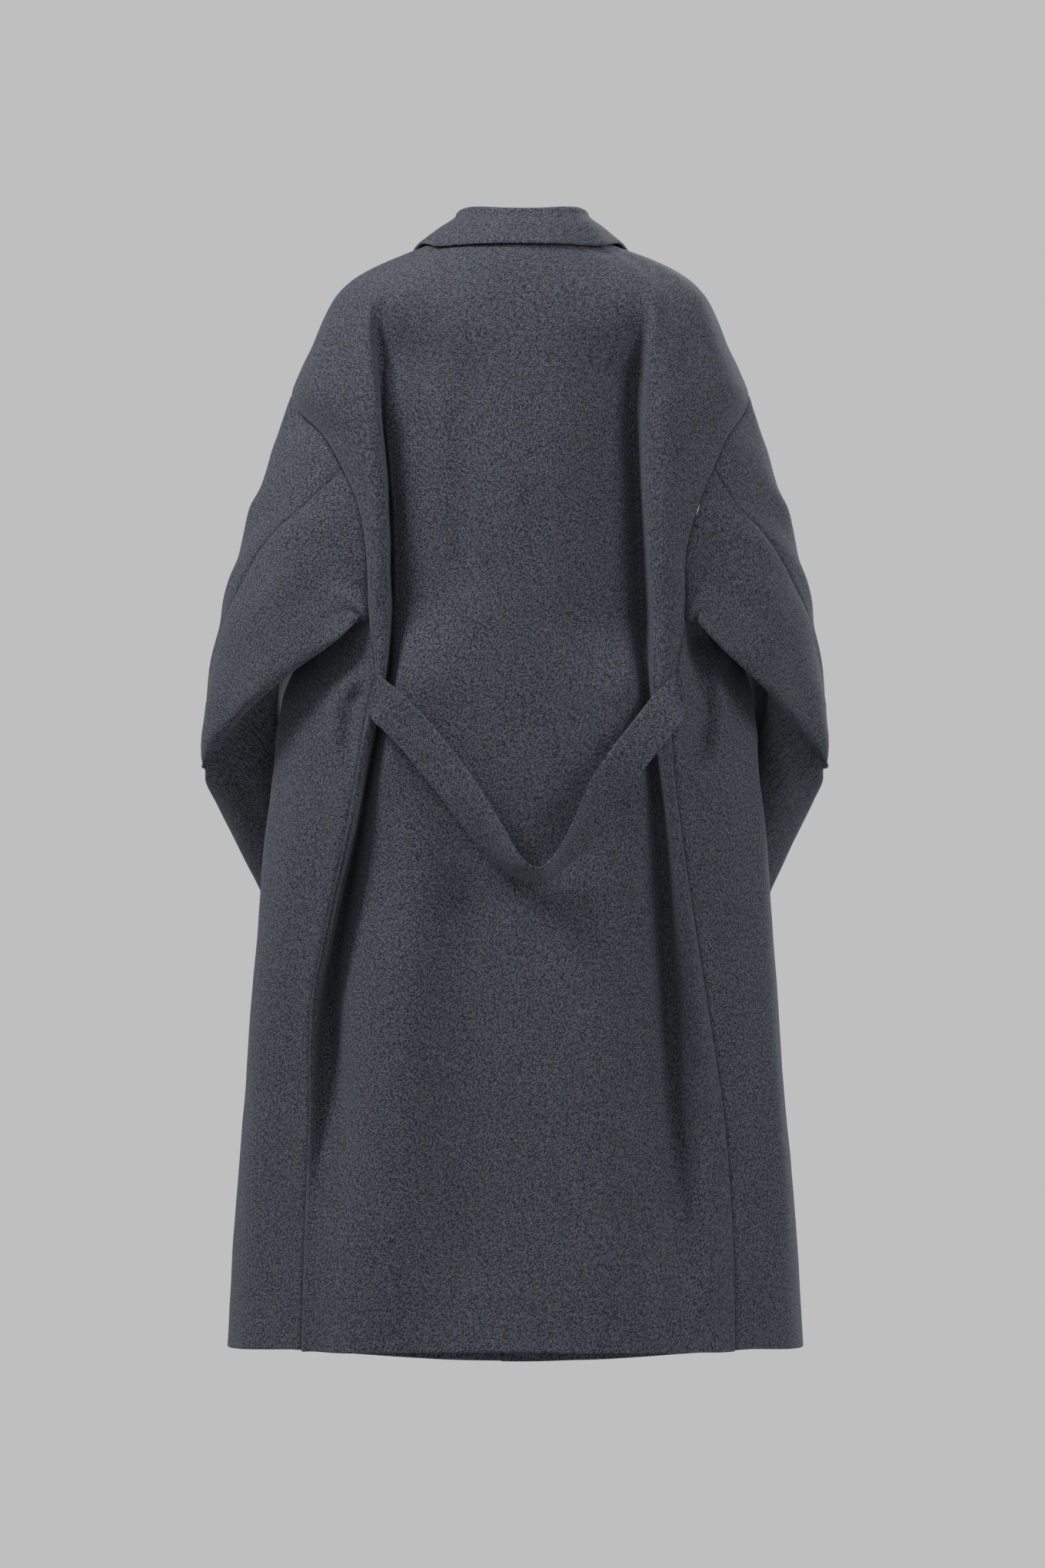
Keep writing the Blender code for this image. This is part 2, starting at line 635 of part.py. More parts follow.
def around_loop(knots, points, places):
    """Points at places on a smooth closed curve that passes each point at its knot."""
    around = np.concatenate([points, points, points])
    at = np.concatenate([knots - RING_COLUMNS, knots, knots + RING_COLUMNS])
    return smooth(at, around, places)


def sleeve_rows(body, side):
    """Rings of the sleeve, from the armhole to the cuff, each with the same columns."""
    ring = armhole(body, side)
    mirror = np.array([side, 1, 1])
    tuck = LEFT_TUCK if side > 0 else RIGHT_TUCK
    loops = []
    for loop in (CAP, BICEP, LOW, ELBOW, TUCK):
        points = np.array(loop[:8], float)
        if side < 0:
            points[:, 0] -= np.array(STATION_SHIFT) * loop.inward
        for station, column in zip((3, 4, 5), UNDER_COLUMNS):
            points[station] += ring[column] * mirror
        loops.append(points)
    loops[-1][1:3] = loops[-2][1:3] * (1 - tuck) + loops[-1][1:3] * tuck
    centres = [(part.x, part.y, part.z) for part in FOREARM]
    centres.append(2 * np.array(centres[-1]) - np.array(centres[-2]))
    loops += [forearm_loop(part, ahead, side) for part, ahead in zip(FOREARM, centres[1:])]

    columns = np.arange(RING_COLUMNS)
    knots = np.array(STATION_COLUMN)
    turned_back = ring * mirror
    stations = around_loop(columns, turned_back, knots)
    bend = turned_back - around_loop(knots, stations, columns)
    rings = [turned_back]
    for loop, share in zip(loops, ARMHOLE_SHARE):
        rings.append(around_loop(knots, loop, columns) + share * bend)
    rings = np.array(rings) * mirror
    lengths = np.linalg.norm(np.diff(rings, axis=0), axis=2).mean(axis=1)
    along = np.concatenate([[0.0], np.cumsum(lengths)])
    places = spans(SLEEVE_STEPS)
    rows = smooth(along, rings, np.interp(places, np.arange(len(along)), along))
    turns = np.interp(places, np.arange(len(RING_TURN)), RING_TURN)
    holds = np.interp(places, np.arange(len(SEAM_HELD)), SEAM_HELD)
    pull = np.cos(np.pi * columns / RING_COLUMNS) ** 2
    half = RING_COLUMNS / 2
    from_seam = np.abs((columns - BACK_SEAM_COLUMN + half) % RING_COLUMNS - half)
    near = np.cos(np.pi / 2 * np.minimum(from_seam / SEAM_REACH, 1)) ** 2
    return np.array([around_loop(columns, row, columns - turn * pull + hold * near)
                     for row, turn, hold in zip(rows, turns, holds)])


def columns_of(rows, first, last):
    """The rings' columns from first to last, going round past the top where needed."""
    chosen = [k % RING_COLUMNS for k in range(first, last + 1)]
    return rows[:, chosen]


def collar_grid(body):
    """The collar's skin: up the inside of the stand, over the fold and down the fall."""
    halves = []
    for side in (1, -1):
        ribs = []
        for part, front in ((COLLAR_BACK, False), (COLLAR_FRONT, True)):
            for rib in part:
                if front:
                    seam = body.front_points(side, [0.0], [rib.seam_at])[0, 0]
                    patch = body.front_points(
                        side, [rib.edge_level, rib.edge_level + 0.1],
                        [rib.edge_line, min(2.0, rib.edge_line + 0.1)])
                else:
                    line = rib.seam_at if side > 0 else 14 - rib.seam_at
                    over = rib.edge_line if side > 0 else 14 - rib.edge_line
                    seam = body.back_points([0.0], [line])[0, 0]
                    patch = body.back_points(
                        [rib.edge_level, rib.edge_level + 0.1],
                        [over, over + (0.1 if over < 7 else -0.1)])
                normal = unit(np.cross(patch[0, 1] - patch[0, 0], patch[1, 0] - patch[0, 0]))
                if np.dot(normal, patch[0, 0] - np.array([0, 0, -160.0])) < 0:
                    normal = -normal
                edge = patch[0, 0] + normal * COLLAR_LIFT
                fold = np.array([side * rib.fold_x - COLLAR_SHIFT, rib.fold_y, rib.fold_z])
                ribs.append((seam, fold, edge))
        halves.append(ribs)
    ribs = halves[0][::-1] + halves[1][1:]
    keys = np.array(ribs)
    places = spans([COLLAR_STEPS] * (len(keys) - 1))
    smoothed = smooth(np.arange(len(keys)), keys, places)
    folds = smoothed[:, 1]
    forward = np.gradient(folds, axis=0)
    grid = []
    for (seam, fold, edge), ahead in zip(smoothed, forward):
        out = unit(np.cross(unit(ahead), (0, 0, 1.0)))
        if np.dot(out, edge - seam) < 0:
            out = -out
        up = unit(np.cross(unit(ahead), out))
        if up[2] < 0:
            up = -up
        stand = unit(fold - seam)
        foot = seam - stand * COLLAR_SINK - out * CLOTH
        rise = fold - out * COLLAR_ROLL
        down = fold + out * COLLAR_ROLL
        crown = fold + up * COLLAR_ROLL
        diagonal = COLLAR_ROLL * math.sqrt(0.5)
        grid.append([
            foot, foot * 0.45 + rise * 0.55 - out * STAND_HOLLOW, rise,
            fold - out * diagonal + up * diagonal, crown, fold + out * diagonal + up * diagonal,
            down, down * 0.55 + edge * 0.45 + out * FALL_ROUND, edge])
    return np.array(grid)


def belt_grid():
    """The half belt's outer skin, from its upper to its lower edge."""
    ribs = np.array(BELT, float)
    places = spans([2] * (len(BELT) - 1))
    line = smooth(np.arange(len(BELT)), ribs, places)
    path = line[:, :3]
    forward = np.gradient(path, axis=0)
    grid = []
    for k, (rib, ahead) in enumerate(zip(line, forward)):
        flat = unit(np.array([ahead[0], 0.0, ahead[2]]))
        down = np.array([-flat[2], 0.0, flat[0]])
        for lean, end in ((BELT_LEAN_LEFT, 0), (-BELT_LEAN_RIGHT, len(line) - 1)):
            share = max(0.0, 1 - abs(k - end) / 4)
            a = math.radians(lean)
            down = unit(down * (1 - share) + np.array([math.sin(a), 0, -math.cos(a)]) * share)
        turn = math.radians(rib[3])
        across = down * math.cos(turn) + np.array([0, -1.0, 0]) * math.sin(turn)
        out = down * math.sin(turn) + np.array([0, 1.0, 0]) * math.cos(turn)
        row = []
        for share in (0.0, 1 / 3, 2 / 3, 1.0):
            bow = rib[4] * 4 * share * (1 - share)
            row.append(rib[:3] + across * BELT_WIDTH * share + out * bow)
        grid.append(row)
    return np.array(grid)


def line_at(body, side, place, x):
    """The line of a front at which a level section crosses x."""
    low, high = 1.0, 2.0
    for _ in range(30):
        middle = (low + high) / 2
        if side * (body.front_points(side, [place], [middle])[0, 0, 0] - x) > 0:
            low = middle
        else:
            high = middle
    return (low + high) / 2


def button(body, name, z, material):
    """A round button with a raised rim and a thread shank, on the left front's centre line."""
    low, high = 0.0, float(len(LEVELS) - 1)
    for _ in range(30):
        place = (low + high) / 2
        line = line_at(body, 1, place, 0.0)
        if body.front_points(1, [place], [line])[0, 0, 2] > z:
            low = place
        else:
            high = place
    patch = body.front_points(1, [place, place + 0.05], [line, line - 0.05])
    seat = patch[0, 0]
    normal = unit(np.cross(patch[0, 1] - seat, patch[1, 0] - seat))
    if normal[1] > 0:
        normal = -normal
    side_way = unit(np.cross(normal, (0, 0, 1.0)))
    up_way = np.cross(side_way, normal)
    sides = BUTTON_SIDES
    profile = BUTTON_PROFILE
    points, faces = [], []
    for radius, height in profile:
        for k in range(sides):
            a = 2 * math.pi * k / sides
            points.append(seat + side_way * radius * math.cos(a)
                          + up_way * radius * math.sin(a) + normal * height)
    for ring in range(len(profile) - 1):
        for k in range(sides):
            a, b = ring * sides + k, ring * sides + (k + 1) % sides
            faces.append((a, b, b + sides, a + sides))
    faces.append(tuple(range(sides))[::-1])
    faces.append(tuple(range((len(profile) - 1) * sides, len(profile) * sides)))
    first = points[0] - points[sides // 2]
    if np.dot(np.cross(first, points[sides // 4] - seat), normal) < 0:
        faces = [face[::-1] for face in faces]
    return add_object(name, points, faces, material)


def build():
    """Build every piece of the coat."""
    clear_scene()
    wool = finish("wool", WOOL, 0.9)
    facing_wool = finish("facing_wool", FACING_WOOL, 0.9)
    horn = finish("horn", HORN, 0.35)
    body = Body()
    all_levels = level_places(0, len(LEVELS) - 1)
    low_levels = level_places(UNDERARM, len(LEVELS) - 1)
    middle = np.array([0, 0, -500.0])

    half = (2, 2, 1, 3, 3, 3, 2)
    pieces = [Piece("back", [body.back_points(all_levels, spans(half + half[::-1]))],
                    np.array([0, 0, -60.0]), CLOTH, wool)]
    for side, word in ((1, "left"), (-1, "right")):
        chest = body.front_points(side, all_levels, CHEST_LINES)
        flank = body.flank_points(side, low_levels, spans((3, 3, 3)))
        pieces.append(Piece(f"front_{word}", [chest, flank], np.array([0, 0, -100.0]), CLOTH, wool))
        rows = sleeve_rows(body, side)
        hint = np.array([side * 200.0, 0, -300.0])
        top = columns_of(rows, FRONT_SEAM_COLUMN, RING_COLUMNS + BACK_SEAM_COLUMN)
        under = columns_of(rows, BACK_SEAM_COLUMN, FRONT_SEAM_COLUMN)
        pieces.append(Piece(f"sleeve_top_{word}", [top], hint, CLOTH, wool))
        pieces.append(Piece(f"sleeve_under_{word}", [under], hint, CLOTH, wool))
    seams = sew(pieces)

    for side, word in ((1, "left"), (-1, "right")):
        front = next(p for p in pieces if p.name == f"front_{word}")
        under = {front.place(i): front.points[i] - front.normals[i] * (CLOTH + FACING_GAP)
                 for i in range(len(front.points))}
        grid = body.front_points(side, all_levels, CHEST_LINES[FACING_FROM:])
        moved = np.array([[under[tuple(np.round(p * 100).astype(int))] for p in row]
                          for row in grid])
        moved[0, :, 2] -= FACING_TOP_TRIM
        moved[-1, :, 2] += FACING_HEM_TRIM
        pieces.append(Piece(f"facing_{word}", [moved], middle, FACING, facing_wool, sewn=False))

    pieces.append(Piece("collar", [collar_grid(body)], np.array([0, 0, 0.0]), CLOTH, wool,
                        sewn=False))
    pieces.append(Piece("half_belt", [belt_grid()], middle, STRAP, wool, sewn=False))
    for piece in pieces:
        points, faces = wall(piece, seams)
        add_object(piece.name, points, faces, piece.material)
    for k, z in enumerate(BUTTONS_Z):
        button(body, f"button_{k + 1}", z, horn)


build()
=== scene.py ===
"""Dresses a long woollen coat: its cloth with creases and seams, its buttons, floor and light.

Sizes are millimetres in the tables and metres in Blender. +Z is up, the back of the coat faces +Y
and +X is the wearer's left.
"""

import logging
import math
from collections import deque
from dataclasses import dataclass
from enum import Enum
from typing import Any, Optional, Sequence, Union

import bpy
import numpy as np
from mathutils import Matrix, Vector, noise
from mathutils.kdtree import KDTree


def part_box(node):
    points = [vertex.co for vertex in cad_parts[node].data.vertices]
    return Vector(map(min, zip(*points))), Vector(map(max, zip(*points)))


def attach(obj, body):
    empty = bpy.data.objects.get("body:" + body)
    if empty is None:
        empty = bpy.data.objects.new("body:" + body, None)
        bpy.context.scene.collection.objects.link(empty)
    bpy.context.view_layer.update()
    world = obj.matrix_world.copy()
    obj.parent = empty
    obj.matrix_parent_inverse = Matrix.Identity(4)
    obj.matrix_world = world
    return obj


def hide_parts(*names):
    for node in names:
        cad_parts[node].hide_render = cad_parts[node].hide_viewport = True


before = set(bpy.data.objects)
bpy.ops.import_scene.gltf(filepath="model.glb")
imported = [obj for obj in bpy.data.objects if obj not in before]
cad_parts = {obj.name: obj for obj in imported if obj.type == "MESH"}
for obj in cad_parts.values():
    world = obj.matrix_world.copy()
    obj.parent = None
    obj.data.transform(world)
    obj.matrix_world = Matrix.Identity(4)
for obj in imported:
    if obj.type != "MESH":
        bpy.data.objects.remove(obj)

MM = 0.001
ROOT = "root"
log = logging.getLogger("coat")

Colour = tuple[float, float, float]
Point = tuple[float, float, float]


# ---------------------------------------------------------------------------------------------
# Materials
# ---------------------------------------------------------------------------------------------

class Value:
    """A number, colour or vector that a shader node gives; sums and products add Math nodes."""

    def __init__(self, nodes: "Nodes", socket: bpy.types.NodeSocket) -> None:
        """Keep the socket and the nodes that it belongs to."""
        self.nodes = nodes
        self.socket = socket

    def math(self, operation: str, first: "Number", second: "Number" = 0.0) -> "Value":
        """Add a Math node on two numbers."""
        return self.nodes.add("ShaderNodeMath", {"operation": operation}, {0: first, 1: second})

    def __add__(self, other: "Number") -> "Value":
        """This plus other."""
        return self.math("ADD", self, other)

    def __sub__(self, other: "Number") -> "Value":
        """This minus other."""
        return self.math("SUBTRACT", self, other)

    def __mul__(self, other: "Number") -> "Value":
        """This times other."""
        return self.math("MULTIPLY", self, other)

    def __rsub__(self, other: "Number") -> "Value":
        """Other minus this."""
        return self.math("SUBTRACT", other, self)

    __radd__ = __add__
    __rmul__ = __mul__

    def clamped(self) -> "Value":
        """This held between 0 and 1."""
        return self.math("MINIMUM", self.math("MAXIMUM", self, 0.0), 1.0)


Number = Union[Value, float]


class Nodes:
    """Builds the node tree of one material or world."""

    def __init__(self, tree: bpy.types.NodeTree) -> None:
        """Start on a tree and empty it."""
        self.tree = tree
        tree.nodes.clear()

    def node(self, kind: str, settings: Optional[dict[str, Any]] = None,
             sockets: Optional[dict[Any, Any]] = None) -> bpy.types.Node:
        """Add a node.

        Args:
            kind: the node's type.
            settings: its properties, set first.
            sockets: values or links of its inputs, by name or number.

        Returns:
            The node.
        """
        node = self.tree.nodes.new(kind)
        for name, value in (settings or {}).items():
            setattr(node, name, value)
        for name, value in (sockets or {}).items():
            if isinstance(value, Value):
                self.tree.links.new(value.socket, node.inputs[name])
            else:
                node.inputs[name].default_value = value
        return node

    def add(self, kind: str, settings: Optional[dict[str, Any]] = None,
            sockets: Optional[dict[Any, Any]] = None, output: Union[int, str] = 0) -> Value:
        """Add a node as `node` does, and return one of its outputs."""
        return Value(self, self.node(kind, settings, sockets).outputs[output])

    def noise(self, vector: Value, scale: float, detail: float = 2.0,
              rough: float = 0.5) -> Value:
        """A noise texture's grey value at a vector.

        Args:
            vector: where it is read.
            scale: how fine it is, to the metre.
            detail: how many finer layers it has.
            rough: how strong those layers are.

        Returns:
            The grey value.
        """
        return self.add("ShaderNodeTexNoise", {"noise_dimensions": "3D"},
                        {"Vector": vector, "Scale": scale, "Detail": detail,
                         "Roughness": rough}, "Fac")

    def mix(self, factor: Number, low: Any, high: Any, blend: str = "MIX") -> Value:
        """Mix two colours."""
        return self.add("ShaderNodeMix", {"data_type": "RGBA", "blend_type": blend},
                        {0: factor, 6: low, 7: high}, 2)

    def step(self, value: Value, low: float, high: float) -> Value:
        """A smooth step from 0 at low to 1 at high."""
        return self.add("ShaderNodeMapRange", {"interpolation_type": "SMOOTHSTEP"},
                        {"Value": value, "From Min": low, "From Max": high})


def new_material(name: str) -> tuple[bpy.types.Material, Nodes]:
    """A material with an empty tree.

    Args:
        name: the material's name.

    Returns:
        The material, and the nodes to build it with.
    """
    material = bpy.data.materials.new(name)
    material.use_nodes = True
    return material, Nodes(material.node_tree)


def rgba(colour: Colour, factor: float = 1.0) -> tuple[float, float, float, float]:
    """The colour times a factor, with full alpha."""
    return (colour[0] * factor, colour[1] * factor, colour[2] * factor, 1.0)


@dataclass(frozen=True)
class Wool:
    """Heathered twill coating: fine diagonal wales, dark and light yarn and soft mottling."""

    name: str
    dark: Colour = (0.032, 0.035, 0.045)
    light: Colour = (0.160, 0.171, 0.205)
    blue: Colour = (0.94, 0.985, 1.07)
    green: Colour = (0.985, 1.0, 1.0)
    brown: Colour = (1.06, 1.0, 0.95)
    brightness: float = 1.0
    wale_mm: float = 2.3
    streaks: tuple[float, float] = (270.0, 660.0)
    yarns: float = 760.0
    neps: float = 560.0
    sparks: float = 640.0
    blotches: float = 120.0
    warm_patches: float = 80.0
    shades: float = 16.0
    bump: float = 0.16

    def material(self) -> bpy.types.Material:
        """Build the cloth's material.

        Returns:
            The material. It reads the cloth's own lengths from the map "cloth", so that the wales
            follow each piece's grain, and the painted seam shade and painted edge highlight that
            the meshes carry.
        """
        material, nodes = new_material(self.name)
        place = nodes.add("ShaderNodeTexCoord", None, None, "Object")
        grain = nodes.add("ShaderNodeUVMap", {"uv_map": "cloth"})
        parts = nodes.node("ShaderNodeSeparateXYZ", None, {0: grain})
        across, down = Value(nodes, parts.outputs[0]), Value(nodes, parts.outputs[1])
        half = math.sqrt(0.5)
        wale_along = (across - down) * half
        wale_across = (across + down) * half
        streak_at = nodes.add("ShaderNodeCombineXYZ", None,
                              {0: wale_along * self.streaks[0],
                               1: wale_across * self.streaks[1], 2: 0.0})
        streak = nodes.noise(streak_at, 1.15, 1.0)
        yarn = nodes.noise(place, self.yarns, 1.0)
        nep = nodes.noise(place, self.neps, 0.0)
        spark = nodes.noise(place, self.sparks, 0.0)
        waves = nodes.add("ShaderNodeMath", {"operation": "SINE"},
                          {0: wale_across * (2000.0 * math.pi / self.wale_mm)})
        weave = ((streak - 0.5) * 3.8 + (yarn - 0.5) * 3.6 + waves * 0.08 + 0.5).clamped()

        blotch = nodes.noise(place, self.blotches, 1.0)
        warm = nodes.noise(place, self.warm_patches, 1.5)
        broad = nodes.noise(place, self.shades, 2.0)
        cloth = nodes.mix(weave, rgba(self.dark, self.brightness),
                          rgba(self.light, self.brightness))
        tint = nodes.mix(nodes.step(blotch, 0.38, 0.62), rgba(self.green), rgba(self.blue))
        tint = nodes.mix(nodes.step(warm, 0.50, 0.70) * 0.8, tint, rgba(self.brown))
        cloth = nodes.mix(1.0, cloth, tint, "MULTIPLY")
        spark_share = nodes.step(spark, 0.66, 0.78) * 0.6
        cloth = nodes.mix(spark_share, cloth, rgba(self.light, 1.35 * self.brightness))
        nep_share = nodes.step(nep, 0.58, 0.70) * 0.72
        cloth = nodes.mix(nep_share, cloth, rgba(self.dark, 0.45 * self.brightness))
        shade = 0.93 + broad * 0.14
        # painted shade: the colour darkens along the seams, where their grooves fall in shade;
        # painted highlight: it lightens along the free edges, where their rounded rims catch the
        # light
        seam = nodes.add("ShaderNodeAttribute", {"attribute_name": "seam"}, None, "Fac")
        edge = nodes.add("ShaderNodeAttribute", {"attribute_name": "edge"}, None, "Fac")
        shade = shade * (1.0 - seam * 0.35) + edge * 0.16
        grey = nodes.add("ShaderNodeCombineColor", None, {0: shade, 1: shade, 2: shade})
        cloth = nodes.mix(1.0, cloth, grey, "MULTIPLY")

        height = weave * 0.8 + waves * 0.12
        normal = nodes.add("ShaderNodeBump", None,
                           {"Height": height, "Strength": self.bump, "Distance": 0.0005})
        roughness = 0.80 + weave * 0.15
        surface = nodes.add("ShaderNodeBsdfPrincipled", None, {
            "Base Color": cloth, "Roughness": roughness, "Normal": normal,
            "Specular IOR Level": 0.22, "Sheen Weight": 0.18, "Sheen Roughness": 0.55,
            "Sheen Tint": (0.75, 0.80, 0.90, 1.0)})
        nodes.node("ShaderNodeOutputMaterial", None, {"Surface": surface})
        return material


@dataclass(frozen=True)
class Horn:
    """Dark satin buttons with a faint cloudy grain."""

    name: str = "horn buttons"
    dark: Colour = (0.010, 0.010, 0.012)
    light: Colour = (0.045, 0.040, 0.038)
    clouds: float = 130.0
    scratches: float = 900.0

    def material(self) -> bpy.types.Material:
        """Build the buttons' material.

        Returns:
            The material.
        """
        material, nodes = new_material(self.name)
        place = nodes.add("ShaderNodeTexCoord", None, None, "Object")
        cloud = nodes.noise(place, self.clouds, 4.0, 0.6)
        scratch = nodes.noise(place, self.scratches, 1.0)
        colour = nodes.mix(nodes.step(cloud, 0.42, 0.72), rgba(self.dark), rgba(self.light))
        normal = nodes.add("ShaderNodeBump", None, {
            "Height": cloud * 0.6 + scratch * 0.4, "Strength": 0.15, "Distance": 0.0002})
        surface = nodes.add("ShaderNodeBsdfPrincipled", None, {
            "Base Color": colour, "Roughness": 0.28 + cloud * 0.2, "Normal": normal,
            "Coat Weight": 0.1, "Coat Roughness": 0.3})
        nodes.node("ShaderNodeOutputMaterial", None, {"Surface": surface})
        return material


@dataclass(frozen=True)
class Thread:
    """Sewing thread, twisted and matt."""

    name: str = "thread"
    colour: Colour = (0.030, 0.034, 0.045)
    twists: float = 1600.0

    def material(self) -> bpy.types.Material:
        """Build the thread's material.

        Returns:
            The material.
        """
        material, nodes = new_material(self.name)
        place = nodes.add("ShaderNodeTexCoord", None, None, "Object")
        twist = nodes.noise(place, self.twists, 1.0)
        colour = nodes.mix(twist, rgba(self.colour, 0.6), rgba(self.colour, 1.6))
        normal = nodes.add("ShaderNodeBump", None, {
            "Height": twist, "Strength": 0.4, "Distance": 0.0002})
        surface = nodes.add("ShaderNodeBsdfPrincipled", None, {
            "Base Color": colour, "Roughness": 0.7, "Normal": normal})
        nodes.node("ShaderNodeOutputMaterial", None, {"Surface": surface})
        return material


# ---------------------------------------------------------------------------------------------
# Cloth: the grid that a wall was made from, made finer, creased and closed again
# ---------------------------------------------------------------------------------------------

@dataclass(frozen=True)
class Cut:
    """How one wall of cloth is laid out: its grid, its thickness and the way its grid runs.

    The hint is a point inside the coat. The free edges have no seam, and the inner corner is the
    row and column where the piece is cut back. The tuck is how far its seam allowance reaches
    under the next piece.
    """

    rows: int
    columns: int
    thickness: float = 2.2
    hint: Point = (0.0, 0.0, -500.0)
    row_way: Point = (0.0, 0.0, -1.0)
    column_way: Point = (-1.0, 0.0, 0.0)
    step_across: float = 6.0
    step_down: float = 6.5
    free: tuple[str, ...] = ()
    inner_corner: Optional[tuple[int, int]] = None
    flat: tuple[float, float] = (0.5, 1.2)
    area: float = 0.5
    held: str = "hung"
    tuck: float = 3.5


def joined(name: str) -> tuple[np.ndarray, np.ndarray]:
    """Points in millimetres and triangles of a node, with doubled points joined.

    Args:
        name: the node.

    Returns:
        Its points, and three point numbers for each triangle.
    """
    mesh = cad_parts[name].data
    flat = np.empty(len(mesh.vertices) * 3)
    mesh.vertices.foreach_get("co", flat)
    corners = np.empty(len(mesh.polygons) * 3, int)
    mesh.polygons.foreach_get("vertices", corners)
    places = flat.reshape(-1, 3) / MM
    _, first, index = np.unique(np.round(places * 100).astype(int), axis=0,
                                return_index=True, return_inverse=True)
    return places[first], index.reshape(-1)[corners].reshape(-1, 3)


def point_normals(points: np.ndarray, triangles: np.ndarray) -> np.ndarray:
    """A unit normal for each point, from the triangles that meet there.

    Args:
        points: the points.
        triangles: three point numbers for each triangle.

    Returns:
        The normals.
    """
    a, b, c = (points[triangles[:, k]] for k in range(3))
    normals = np.zeros_like(points)
    for k in range(3):
        np.add.at(normals, triangles[:, k], np.cross(b - a, c - a))
    return normals / np.maximum(np.linalg.norm(normals, axis=1), 1e-9)[:, None]


